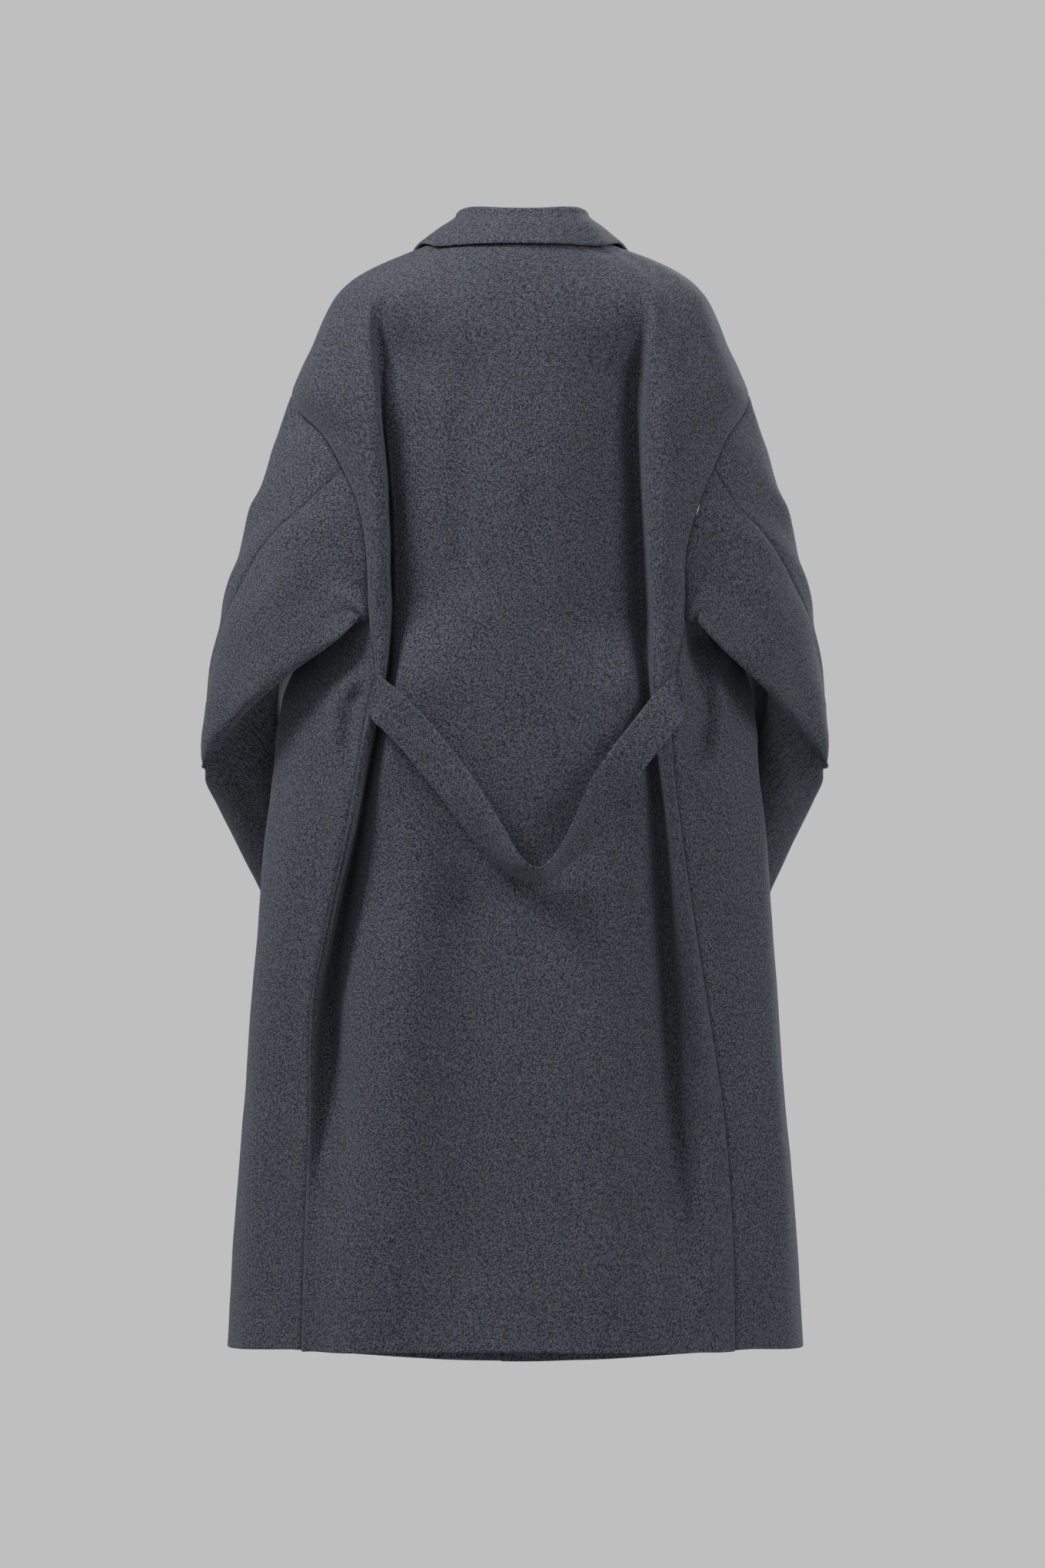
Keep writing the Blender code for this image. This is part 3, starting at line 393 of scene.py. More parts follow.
class WallReader:
    """Finds the grid of four-sided cells that a wall of cloth was made from."""

    def __init__(self, name: str, cut: Cut) -> None:
        """Read the node's wall.

        Args:
            name: the node.
            cut: how its wall is laid out.
        """
        self.name, self.cut = name, cut
        self.points, self.triangles = joined(name)
        self.normals = point_normals(self.points, self.triangles)
        self.near: list[set[int]] = [set() for _ in self.points]
        for a, b, c in self.triangles:
            self.near[a] |= {b, c}
            self.near[b] |= {a, c}
            self.near[c] |= {a, b}

    def skins(self) -> np.ndarray:
        """Tell the wall's two skins apart.

        A point inside a skin lies one thickness from its partner and isn't joined to it; a point
        on the rim is joined to its partner by an edge.

        Returns:
            1 or -1 for each point.
        """
        thick = self.cut.thickness
        tree = KDTree(len(self.points))
        for i, point in enumerate(self.points):
            tree.insert(point, i)
        tree.balance()
        count = len(self.points)
        inside, rim = np.zeros(count, bool), np.zeros(count, bool)
        partners: list[list[int]] = [[] for _ in range(count)]
        for i, point in enumerate(self.points):
            for _, j, distance in tree.find_range(point, thick * 1.75):
                if i == j:
                    continue
                way = (self.points[j] - point) / distance
                if j in self.near[i]:
                    if np.dot(way, self.normals[i]) < -0.35 and np.dot(way, self.normals[j]) > 0.35:
                        rim[i] = True
                        partners[i].append(j)
                elif abs(distance - thick) < 0.03 and np.dot(way, self.normals[i]) < -0.9:
                    inside[i] = True
        inside &= ~rim
        label = np.zeros(count, int)
        groups: list[list[int]] = []
        seen = ~inside
        for start in np.nonzero(inside)[0]:
            if seen[start]:
                continue
            group, queue = [], [start]
            seen[start] = True
            while queue:
                u = queue.pop()
                group.append(u)
                for v in self.near[u]:
                    if not seen[v]:
                        seen[v] = True
                        queue.append(v)
            groups.append(group)
        groups.sort(key=len, reverse=True)
        for sign, group in zip((1, -1), groups):
            label[group] = sign
        first = label.copy()
        for u in range(count):
            if not first[u]:
                label[u] = np.sign(sum(first[v] for v in self.near[u]))
        while True:
            scores = {u: sum(label[v] for v in self.near[u] if v not in partners[u])
                      - 2 * sum(label[v] for v in partners[u])
                      for u in np.nonzero(label == 0)[0]}
            if not scores:
                return label
            best = max(scores, key=lambda u: abs(scores[u]))
            label[best] = 1 if scores[best] > 0 else -1

    def outer(self) -> np.ndarray:
        """The triangles of the outer skin.

        Returns:
            Three point numbers for each triangle.
        """
        label = self.skins()
        found = []
        for sign in (1, -1):
            skin = self.triangles[(label[self.triangles] == sign).all(axis=1)]
            a, b, c = (self.points[skin[:, k]] for k in range(3))
            area = np.cross(b - a, c - a)
            away = (a + b + c) / 3 - np.array(self.cut.hint)
            found.append((float((area * away).sum()), skin))
        return max(found, key=lambda entry: entry[0])[1]

    def rim(self, skin: np.ndarray) -> list[int]:
        """The points round the skin's edge, in order.

        Args:
            skin: the skin's triangles.

        Returns:
            The point numbers, each joined to the next.
        """
        sides = {(int(face[k]), int(face[(k + 1) % 3])) for face in skin for k in range(3)}
        follow = {a: b for a, b in sides if (b, a) not in sides}
        loop = [min(follow)]
        while follow[loop[-1]] != loop[0]:
            loop.append(follow[loop[-1]])
        return loop

    def steps_from(self, edge: Sequence[int], skin: np.ndarray) -> dict[int, int]:
        """The number of edges from each point of the skin to the nearest point of an edge.

        Args:
            edge: the points to start from.
            skin: the skin's triangles.

        Returns:
            The number of edges, by point.
        """
        members = set(skin.reshape(-1).tolist())
        steps = {i: 0 for i in edge}
        queue = deque(edge)
        while queue:
            u = queue.popleft()
            for v in self.near[u]:
                if v in members and v not in steps:
                    steps[v] = steps[u] + 1
                    queue.append(v)
        return steps

    def grid(self) -> tuple[np.ndarray, float]:
        """Lay the outer skin's points out in rows and columns.

        The last row and the last column run the whole length of the piece, between the three
        sharpest corners that lie that many points apart. Each point is one step further from
        them for each row or column that lies between.

        Returns:
            The points (rows, columns, 3), with NaN outside the piece, and 1 or -1 for whether the
            outward side is the one that row times column points to.
        """
        skin = self.outer()
        rows, columns = self.cut.rows, self.cut.columns
        best: tuple[float, list[int]] = (-9.0, [])
        for loop in (self.rim(skin), self.rim(skin)[::-1]):
            places = self.points[loop]
            after = np.roll(places, -1, axis=0) - places
            after /= np.linalg.norm(after, axis=1)[:, None]
            sharp = -(after * np.roll(after, 1, axis=0)).sum(axis=1)
            total = (sharp + np.roll(sharp, 1 - columns) + np.roll(sharp, 2 - columns - rows))
            k = int(total.argmax())
            best = max(best, (float(total[k]), loop[k:] + loop[:k]))
        loop = best[1]
        row = self.steps_from(loop[:columns], skin)
        column = self.steps_from(loop[columns - 1:columns + rows - 1], skin)
        points = np.full((rows, columns, 3), np.nan)
        normals = points.copy()
        for i in row:
            place = rows - 1 - row[i], columns - 1 - column[i]
            if min(place) < 0 or not np.isnan(points[place][0]):
                raise ValueError(f"{self.name}: no grid of {rows} by {columns}")
            points[place], normals[place] = self.points[i], self.normals[i]
        for way, axis in ((self.cut.row_way, 0), (self.cut.column_way, 1)):
            ends = [np.nanmean(np.take(points, k, axis=axis), axis=0) for k in (0, -1)]
            if np.dot(ends[1] - ends[0], way) < 0:
                points, normals = np.flip(points, axis), np.flip(normals, axis)
        side = np.nansum(grid_normals(points) * normals)
        return points, 1.0 if side > 0 else -1.0


def grid_normals(points: np.ndarray) -> np.ndarray:
    """Unit normals of a grid of points, on the side that row times column points to.

    Args:
        points: the grid (rows, columns, 3), with NaN outside the piece.

    Returns:
        The normals, in the same layout.
    """
    a, b = points[1:, 1:] - points[:-1, :-1], points[1:, :-1] - points[:-1, 1:]
    faces = np.nan_to_num(np.cross(a, b))
    normals = np.zeros_like(points)
    for i, j in ((0, 0), (0, 1), (1, 0), (1, 1)):
        rows, columns = points.shape[0] - 1, points.shape[1] - 1
        normals[i:i + rows, j:j + columns] += faces
    length = np.linalg.norm(normals, axis=2)
    return normals / np.maximum(length, 1e-9)[..., None]


def smooth(points: np.ndarray, knots: np.ndarray, where: np.ndarray) -> np.ndarray:
    """Rows of points at the given places, on smooth curves through rows of known points.

    Args:
        points: known points (rows, curves, 3).
        knots: the rows' places.
        where: the places that are wanted, in the same units.

    Returns:
        The new points. Each curve bends by its own lengths, so that it doesn't swing past them.
    """
    spans = np.maximum(np.linalg.norm(np.diff(points, axis=0), axis=2), 0.05)[..., None]
    chords = np.diff(points, axis=0) / spans
    slopes = np.empty_like(points)
    slopes[1:-1] = (chords[:-1] * spans[1:] + chords[1:] * spans[:-1]) / (spans[:-1] + spans[1:])
    if len(points) > 2:
        slopes[0] = 1.5 * chords[0] - 0.5 * slopes[1]
        slopes[-1] = 1.5 * chords[-1] - 0.5 * slopes[-2]
    else:
        slopes[:] = chords[0]
    i = np.clip(np.searchsorted(knots, where, side="right") - 1, 0, len(knots) - 2)
    t = ((where - knots[i]) / (knots[i + 1] - knots[i]))[:, None, None]
    h = spans[i]
    return (points[i] * (2 * t**3 - 3 * t**2 + 1) + points[i + 1] * (3 * t**2 - 2 * t**3)
            + slopes[i] * h * (t**3 - 2 * t**2 + t) + slopes[i + 1] * h * (t**3 - t**2))


# Distances from a sewn edge: the closer lines, where creases have faded in, the groove's width and
# the width of the painted seam shade, and the middle and width of the welt
NEAR_SEAM = (0.8, 1.9, 3.6)
SEAM_HOLD = 14.0
SEAM_GROOVE = 1.8
PAINTED_SEAM_SHADE = 1.6
SEAM_WELT = (6.0, 4.0)
# Distances from a free edge: its rounding, the width of its painted highlight, and the step where
# the turned-in cloth ends
EDGE_ROUND = 1.9
PAINTED_EDGE_HIGHLIGHT = 2.4
TURNED_IN = (46.0, 6.0)
# The cloth's own unevenness: the height of each layer and how fine it is
UNEVEN = ((0.9, 0.011), (0.35, 0.035))
# The sleeves' outer sides: where they begin from the centre plane, and the step there
OUTER_SIDES = (296.0, 28.0)


def fine_places(knots: np.ndarray, step: float, seams: Sequence[tuple[int, int]]) -> np.ndarray:
    """Places along a grid's knots: even steps, and closer ones beside each seam.

    Args:
        knots: distances of the grid's lines.
        step: the usual distance between places.
        seams: index of a line and the way into the cloth from it.

    Returns:
        Distances, in order.
    """
    fixed = list(knots)
    for index, way in seams:
        fixed += [knots[index] + way * gap for gap in NEAR_SEAM]
    fixed = sorted(fixed)
    kept = [fixed[0]]
    for place in fixed[1:]:
        if place - kept[-1] > 0.5:
            kept.append(place)
    kept[-1] = knots[-1]
    places = []
    for low, high in zip(kept, kept[1:]):
        count = max(1, round((high - low) / step))
        places += [low + (high - low) * k / count for k in range(count)]
    return np.array(places + [kept[-1]])


def finer(points: np.ndarray, step: float, seams: Sequence[tuple[int, int]]) -> np.ndarray:
    """Make a grid finer along its first axis, run by run where it has gaps.

    Args:
        points: the grid, with NaN outside the piece.
        step: the usual distance between the new points.
        seams: index of a line and the way into the cloth from it.

    Returns:
        The finer grid.
    """
    gaps = np.linalg.norm(np.diff(points, axis=0), axis=2)
    knots = np.concatenate([[0.0], np.cumsum(np.nanmean(gaps, axis=1))])
    where = fine_places(knots, step, seams)
    there = ~np.isnan(points[..., 0])
    patterns, group = np.unique(there, axis=1, return_inverse=True)
    group = group.reshape(-1)
    out = np.full((len(where),) + points.shape[1:], np.nan)
    for k in range(patterns.shape[1]):
        run = np.nonzero(patterns[:, k])[0]
        if len(run) < 2:
            continue
        columns = np.nonzero(group == k)[0]
        inside = np.nonzero((where >= knots[run[0]] - 1e-6) & (where <= knots[run[-1]] + 1e-6))[0]
        found = smooth(points[run][:, columns], knots[run], where[inside])
        out[np.ix_(inside, columns)] = found
    return out


def ease(value: np.ndarray) -> np.ndarray:
    """A smooth step from 0 to 1."""
    value = np.clip(value, 0, 1)
    return value * value * (3 - 2 * value)


class Face(Enum):
    """The side that a crease is drawn from: its two axes and the way that side faces."""

    BACK = (0, 2, (0.0, 1.0, 0.0))
    FRONT = (0, 2, (0.0, -1.0, 0.0))
    LEFT = (1, 2, (1.0, 0.0, 0.0))
    RIGHT = (1, 2, (-1.0, 0.0, 0.0))


@dataclass(frozen=True)
class Crease:
    """A soft ridge, or a trough where its height is negative, along a line drawn on one side.

    The widths are on the line's left and right as it runs, and the ends fade over a length.
    """

    face: Face
    line: tuple[tuple[float, float], ...]
    height: float
    left: float
    right: float
    fade: float = 30.0
    pieces: tuple[str, ...] = ()

    def lift(self, points: np.ndarray, normals: np.ndarray) -> np.ndarray:
        """How each point moves: out of its side, or into it.

        Args:
            points: the cloth's points.
            normals: its normals there, which tell the shown side from the hidden one.

        Returns:
            A move for each point.
        """
        first, second, way = self.face.value
        flat = points[:, (first, second)]
        line = np.array(self.line, float)
        best = np.full(len(flat), 1e9)
        side, along = np.zeros(len(flat)), np.zeros(len(flat))
        reached = 0.0
        for a, b in zip(line, line[1:]):
            span = b - a
            length = float(np.linalg.norm(span))
            t = np.clip(((flat - a) @ span) / length**2, 0, 1)
            off = flat - (a + t[:, None] * span)
            distance = np.linalg.norm(off, axis=1)
            closer = distance < best
            best = np.where(closer, distance, best)
            turn = span[0] * off[:, 1] - span[1] * off[:, 0]
            side = np.where(closer, turn, side)
            along = np.where(closer, reached + t * length, along)
            reached += length
        width = np.where(side > 0, self.left, self.right)
        shown = ease((normals @ np.array(way) + 0.1) / 0.4)
        ends = ease(along / self.fade) * ease((reached - along) / self.fade)
        amount = self.height * np.exp(-((best / width) ** 2)) * shown * ends
        return amount[:, None] * np.array(way)


class Cloth:
    """One piece of cloth on its node's form."""

    def __init__(self, name: str, cut: Cut) -> None:
        """Read the node's grid and make it finer.

        Args:
            name: the node.
            cut: how its wall is laid out.
        """
        self.name, self.cut = name, cut
        self.spread: list[int] = []
        points, self.sign = WallReader(name, cut).grid()
        seams = [(0, 1), (points.shape[0] - 1, -1)]
        lines = [(0, 1), (points.shape[1] - 1, -1)]
        if cut.inner_corner:
            seams.append((cut.inner_corner[0], 1))
            lines.append((cut.inner_corner[1], 1))
        points = finer(points.swapaxes(0, 1), cut.step_across, lines).swapaxes(0, 1)
        self.points = finer(points, cut.step_down, seams)
        self.there = ~np.isnan(self.points[..., 0])
        self.across = self.lengths(1)
        self.down = self.lengths(0)
        self.normals = grid_normals(self.points) * self.sign
        self.measure_edges()

    def lengths(self, axis: int) -> np.ndarray:
        """Lengths of the cloth from its first edge, along one axis.

        Args:
            axis: 0 down the cloth, 1 across it.

        Returns:
            A length for each point of the grid.
        """
        gaps = np.nan_to_num(np.linalg.norm(np.diff(self.points, axis=axis), axis=2))
        shape = list(self.there.shape)
        shape[axis] = 1
        return np.concatenate([np.zeros(shape), np.cumsum(gaps, axis=axis)], axis=axis)

    def measure_edges(self) -> None:
        """Find each point's distance to the nearest sewn edge and the nearest free edge."""
        far = np.full(self.there.shape, 1e3)
        self.sewn, self.free = far.copy(), far.copy()
        ends = {"top": self.down, "bottom": self.down.max(axis=0, keepdims=True) - self.down,
                "first": self.across,
                "last": self.across.max(axis=1, keepdims=True) - self.across}
        for edge, distance in ends.items():
            target = self.free if edge in self.cut.free else self.sewn
            np.minimum(target, distance, out=target)

    def lift(self, heights: np.ndarray) -> None:
        """Move each point out along its normal, in millimetres."""
        self.points = self.points + self.normals * heights[..., None]
        self.normals = grid_normals(self.points) * self.sign

    def drop(self, low: float, reach: float = 80.0) -> None:
        """Let the bottom edge hang lower, in millimetres."""
        above = self.down.max(axis=0, keepdims=True) - self.down
        self.points[..., 2] -= low * ease(1 - above / reach)

    def crease(self, creases: Sequence[Crease]) -> None:
        """Press the creases that belong to this piece into it, held still at its seams.

        Args:
            creases: all the coat's creases.
        """
        flat, normals = self.points[self.there], self.normals[self.there]
        total = np.zeros_like(flat)
        for crease in creases:
            if not crease.pieces or any(self.name.startswith(p) for p in crease.pieces):
                total += crease.lift(flat, normals)
        for i, point in enumerate(flat):
            place = Vector(point)
            uneven = sum(height * noise.noise(place * fine) for height, fine in UNEVEN)
            total[i] += uneven * normals[i]
        held = ease(self.sewn / SEAM_HOLD)[self.there][:, None]
        self.points[self.there] += total * held
        self.normals = grid_normals(self.points) * self.sign

    def draw_in(self, height: float, reach: float, depth: float) -> None:
        """Draw the sides in at a height, both skins of a sharp fold together.

        Args:
            height: where, up the coat.
            reach: how far up and down it fades.
            depth: how far in.
        """
        near = np.exp(-(((self.points[..., 2] - height) / reach) ** 2))
        beside = ease((np.abs(self.points[..., 0]) - OUTER_SIDES[0]) / OUTER_SIDES[1])
        self.points[..., 0] -= np.sign(self.points[..., 0]) * depth * near * beside
        self.normals = grid_normals(self.points) * self.sign

    def sew(self, depth: float = 0.7, welt: float = 0.35) -> None:
        """Sink the sewn edges into their seams, with a low welt over the allowance beside them.

        Args:
            depth: of the seam.
            welt: the welt's height.
        """
        groove = -depth * np.exp(-((self.sewn / SEAM_GROOVE) ** 2))
        raised = welt * np.exp(-(((self.sewn - SEAM_WELT[0]) / SEAM_WELT[1]) ** 2))
        self.lift(groove + raised)

    def build(self, finish: bpy.types.Material, turned: float = 0.0) -> bpy.types.Object:
        """Close the cloth into a wall and add it to the scene.

        Args:
            finish: the material.
            turned: extra thickness near its free edges, where the cloth is turned in.

        Returns:
            The new object.
        """
        round_off = np.sqrt(1 - (1 - np.clip(self.free / EDGE_ROUND, 0, 1)) ** 2)
        share = 0.35 + 0.65 * round_off
        thick = self.cut.thickness + turned * ease((TURNED_IN[0] - self.free) / TURNED_IN[1])
        crown = 0.5 * (1 - round_off) * thick
        outer = self.points - self.normals * crown[..., None]
        inner = outer - self.normals * (thick * share)[..., None]
        index = np.full(self.there.shape, -1)
        index[self.there] = np.arange(int(self.there.sum()))
        cells = np.stack([index[:-1, :-1], index[:-1, 1:], index[1:, 1:], index[1:, :-1]], axis=-1)
        quads = cells.reshape(-1, 4)
        quads = quads[(quads >= 0).all(axis=1)]
        if self.sign > 0:
            quads = quads[:, ::-1]
        count = int(self.there.sum())
        edges = np.concatenate([quads[:, (k, (k + 1) % 4)] for k in range(4)])
        forward = {(int(a), int(b)) for a, b in edges}
        rim = [(b, a) for a, b in forward if (b, a) not in forward]
        vertices, walls = self.allowance(outer[self.there], inner[self.there], rim)
        faces = quads.tolist() + (quads[:, ::-1] + count).tolist() + walls
        mesh = bpy.data.meshes.new(self.name + "_cloth")
        mesh.from_pydata((vertices * MM).tolist(), [], faces)
        mesh.shade_smooth()
        self.mark(mesh)
        mesh.materials.append(finish)
        piece = bpy.data.objects.new(self.name + "_cloth", mesh)
        bpy.context.collection.objects.link(piece)
        return piece

    def allowance(self, outer: np.ndarray, inner: np.ndarray, rim: list[tuple[int, int]]
                  ) -> tuple[np.ndarray, list[tuple[int, ...]]]:
        """Close the wall's rim, with a seam allowance that tucks under the next piece.

        Args:
            outer: points of the outer skin.
            inner: points of the inner skin.
            rim: pairs of neighbouring points round the edge.

        Returns:
            All points, and the faces round the rim.
        """
        count, thick = len(outer), self.cut.thickness
        out = np.zeros_like(outer)
        normals = self.normals[self.there]
        for a, b in rim:
            way = np.cross(outer[b] - outer[a], normals[a] + normals[b])
            out[[a, b]] -= way / max(float(np.linalg.norm(way)), 1e-6)
        length = np.maximum(np.linalg.norm(out, axis=1), 1e-6)[:, None]
        sewn = (self.sewn < 0.01)[self.there] & (self.free > 0.01)[self.there]
        width = np.where(sewn, self.cut.tuck, 0.0)[:, None]
        tips = sorted({i for pair in rim for i in pair})
        place = {i: 2 * count + 3 * k for k, i in enumerate(tips)}
        shares = ((0.0, 0.85), (1.0, 1.2), (1.0, 1.55))
        extra = np.empty((len(tips), 3, 3))
        for k, (wide, deep) in enumerate(shares):
            depth = np.where(sewn, thick * deep, 0.0)[:, None]
            start = np.where(sewn[:, None], outer, outer * (1 - 0.25 * (k + 1))
                             + inner * 0.25 * (k + 1))
            extra[:, k] = (start + out / length * width * wide - normals * depth)[tips]
        walls: list[tuple[int, ...]] = []
        for a, b in rim:
            first = (a, place[a], place[a] + 1, place[a] + 2, a + count)
            second = (b, place[b], place[b] + 1, place[b] + 2, b + count)
            walls += [(first[k], first[k + 1], second[k + 1], second[k]) for k in range(4)]
        self.spread = tips
        return np.concatenate([outer, inner, extra.reshape(-1, 3)]), walls

    def mark(self, mesh: bpy.types.Mesh) -> None:
        """Give the mesh its map of lengths, its painted seam shade and its painted edge highlight.

        Args:
            mesh: the wall's mesh.
        """
        across = -self.across * self.sign
        lengths = np.stack([across[self.there], self.down[self.there]], axis=1) * MM
        lengths = self.on_all(lengths)
        corners = np.empty(len(mesh.loops), int)
        mesh.loops.foreach_get("vertex_index", corners)
        layer = mesh.uv_layers.new(name="cloth")
        layer.data.foreach_set("uv", lengths[corners].reshape(-1))
        # painted shade beside the seams and a painted highlight beside the free edges
        marks = {"seam": np.exp(-((self.sewn / PAINTED_SEAM_SHADE) ** 2)),
                 "edge": np.exp(-((self.free / PAINTED_EDGE_HIGHLIGHT) ** 2))}
        for name, values in marks.items():
            column = mesh.attributes.new(name, "FLOAT", "POINT")
            column.data.foreach_set("value", self.on_all(values[self.there]))

    def on_all(self, values: np.ndarray) -> np.ndarray:
        """Values of the outer skin's points, for the points of the whole wall."""
        return np.concatenate([values, values, np.repeat(values[self.spread], 3, axis=0)])


def stand_in(piece: bpy.types.Object, cloth: Cloth) -> None:
    """Have a piece of cloth ride on the coat in the place of its node, and hide the node.

    Args:
        piece: the new object.
        cloth: the cloth that it was built from.
    """
    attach(piece, ROOT)
    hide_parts(cloth.name)


# ---------------------------------------------------------------------------------------------
# The coat's creases, seen from each side
# ---------------------------------------------------------------------------------------------

BODY = ("back", "front")
BACK_CREASES = (
    # the back panel sinks towards the deep left fold, above and below the belt
    Crease(Face.BACK, ((139, -50), (136, -108), (130, -146), (126, -193), (122, -244),
                       (119, -295), (118, -346), (119, -397), (122, -460)),
           -32.0, 15, 50, 90, ("back",)),
    Crease(Face.BACK, ((136, -470), (140, -500), (146, -529), (154, -576), (163, -613),
                       (172, -648), (179, -686), (188, -726), (196, -780), (202, -860),
                       (204, -1040)), -30.0, 13, 42, 230, ("back",)),
    # and towards the right fold
    Crease(Face.BACK, ((-126, -60), (-120, -120), (-116, -193), (-116, -262), (-119, -330),
                       (-122, -397), (-124, -470)), -30.0, 54, 12, 90, ("back",)),
    Crease(Face.BACK, ((-126, -480), (-132, -540), (-142, -620), (-148, -690), (-158, -850),
                       (-170, -1120)), -30.0, 46, 15, 240, ("back",)),
    Crease(Face.BACK, ((-172, -560), (-184, -700), (-198, -920)), 7.0, 12, 16, 90, ("back",)),
    Crease(Face.BACK, ((-154, -70), (-150, -200), (-150, -400)), 4.0, 12, 10, 70, ("back",)),
    # drag folds under the belt's left end
    Crease(Face.BACK, ((156, -455), (166, -474), (177, -486)), -7.5, 9, 7, 14, BODY),
    Crease(Face.BACK, ((177, -478), (174, -500), (168, -535), (172, -570)), -6.5, 8, 10, 22, BODY),
    Crease(Face.BACK, ((158, -446), (178, -462), (190, -486), (188, -530)), 4.5, 10, 8, 22, BODY),
    Crease(Face.BACK, ((182, -540), (186, -640), (200, -760)), 3.0, 12, 12, 60, BODY),
    # drag folds by the belt's right end
    Crease(Face.BACK, ((-176, -385), (-184, -434), (-190, -485), (-186, -522), (-170, -545)),
           -19.0, 14, 16, 24, BODY),
    Crease(Face.BACK, ((-205, -400), (-203, -470), (-199, -519), (-183, -548), (-164, -568)),
           7.0, 10, 10, 30, BODY),
    Crease(Face.BACK, ((-216, -410), (-222, -500), (-222, -590)), -3.0, 10, 9, 40, BODY),
    # soft bands down the back panel
    Crease(Face.BACK, ((52, -90), (54, -246), (56, -400)), -6.0, 16, 24, 70, ("back",)),
    Crease(Face.BACK, ((86, -130), (84, -260), (86, -380)), 3.0, 12, 14, 60, ("back",)),
    Crease(Face.BACK, ((-50, -120), (-54, -420)), 4.0, 30, 26, 90, ("back",)),
    Crease(Face.BACK, ((58, -560), (56, -800), (34, -1165)), -15.0, 44, 36, 140, ("back",)),
    Crease(Face.BACK, ((104, -620), (126, -860), (140, -1160)), 8.0, 36, 30, 140, ("back",)),
    Crease(Face.BACK, ((-64, -620), (-84, -860), (-96, -1160)), 9.0, 34, 26, 140, ("back",)),
    # where the hem is turned in
    Crease(Face.BACK, ((222, -1084), (90, -1079), (-66, -1081), (-215, -1084)), 0.7, 5, 9, 30,
           BODY),
    # pull lines from the shoulders towards the armholes
    Crease(Face.BACK, ((170, -60), (190, -120), (214, -190)), -1.6, 10, 12, 36, ("back",)),
    Crease(Face.BACK, ((-172, -70), (-186, -150), (-196, -230)), -2.4, 12, 10, 40, ("back",)),
    # folds of the fronts' sides, seen from behind
    Crease(Face.BACK, ((232, -560), (250, -760), (262, -980)), 2.4, 14, 12, 80, ("front",)),
    Crease(Face.BACK, ((-232, -520), (-240, -720), (-256, -980)), -2.4, 12, 14, 80, ("front",)),
)
SLEEVE_CREASES = (
    # back of the left sleeve
    Crease(Face.BACK, ((196, -330), (220, -380), (262, -420), (300, -452)), -2.2, 14, 16, 40,
           ("sleeve",)),
    Crease(Face.BACK, ((215, -300), (250, -345), (290, -400)), 1.5, 16, 16, 40, ("sleeve",)),
    Crease(Face.BACK, ((310, -520), (290, -560), (262, -620)), -2.6, 9, 12, 30, ("sleeve",)),
    Crease(Face.BACK, ((322, -540), (306, -580), (284, -640)), 1.4, 8, 10, 30, ("sleeve",)),
    Crease(Face.BACK, ((262, -560), (244, -610), (232, -660)), -1.8, 8, 10, 26, ("sleeve",)),
    # back of the right sleeve
    Crease(Face.BACK, ((-186, -330), (-214, -380), (-250, -420)), -2.2, 16, 14, 40, ("sleeve",)),
    Crease(Face.BACK, ((-256, -472), (-282, -503), (-309, -529)), -2.2, 10, 9, 26, ("sleeve",)),
    Crease(Face.BACK, ((-252, -500), (-270, -540), (-292, -570)), 1.6, 12, 10, 30, ("sleeve",)),
    Crease(Face.BACK, ((-306, -545), (-290, -590), (-268, -640)), -1.8, 10, 8, 30, ("sleeve",)),
    # fronts and sides of both sleeves
    Crease(Face.FRONT, ((214, -330), (250, -400), (286, -450)), -2.4, 14, 12, 40, ("sleeve",)),
    Crease(Face.FRONT, ((236, -470), (270, -486), (310, -500)), -3.4, 10, 12, 26, ("sleeve",)),
    Crease(Face.FRONT, ((232, -520), (262, -540), (300, -548)), -3.0, 10, 10, 26, ("sleeve",)),
    Crease(Face.FRONT, ((234, -496), (270, -512), (306, -526)), 2.0, 10, 10, 26, ("sleeve",)),
    Crease(Face.FRONT, ((-210, -330), (-246, -400), (-280, -446)), -2.4, 12, 14, 40, ("sleeve",)),
    Crease(Face.FRONT, ((-230, -466), (-262, -490), (-300, -498)), -3.4, 12, 10, 26, ("sleeve",)),
    Crease(Face.FRONT, ((-226, -516), (-256, -530), (-292, -544)), -2.8, 10, 10, 26, ("sleeve",)),
    Crease(Face.FRONT, ((-230, -492), (-262, -512), (-296, -522)), 2.0, 10, 10, 26, ("sleeve",)),
    Crease(Face.LEFT, ((30, -330), (10, -420), (-16, -500)), -2.0, 14, 12, 40, ("sleeve",)),
    Crease(Face.LEFT, ((-60, -430), (-40, -500), (-20, -540)), 1.8, 14, 12, 34, ("sleeve",)),
    Crease(Face.RIGHT, ((34, -320), (10, -410), (-14, -490)), -2.0, 12, 14, 40, ("sleeve",)),
    Crease(Face.RIGHT, ((-56, -420), (-40, -490), (-22, -534)), 1.8, 12, 14, 34, ("sleeve",)),
)
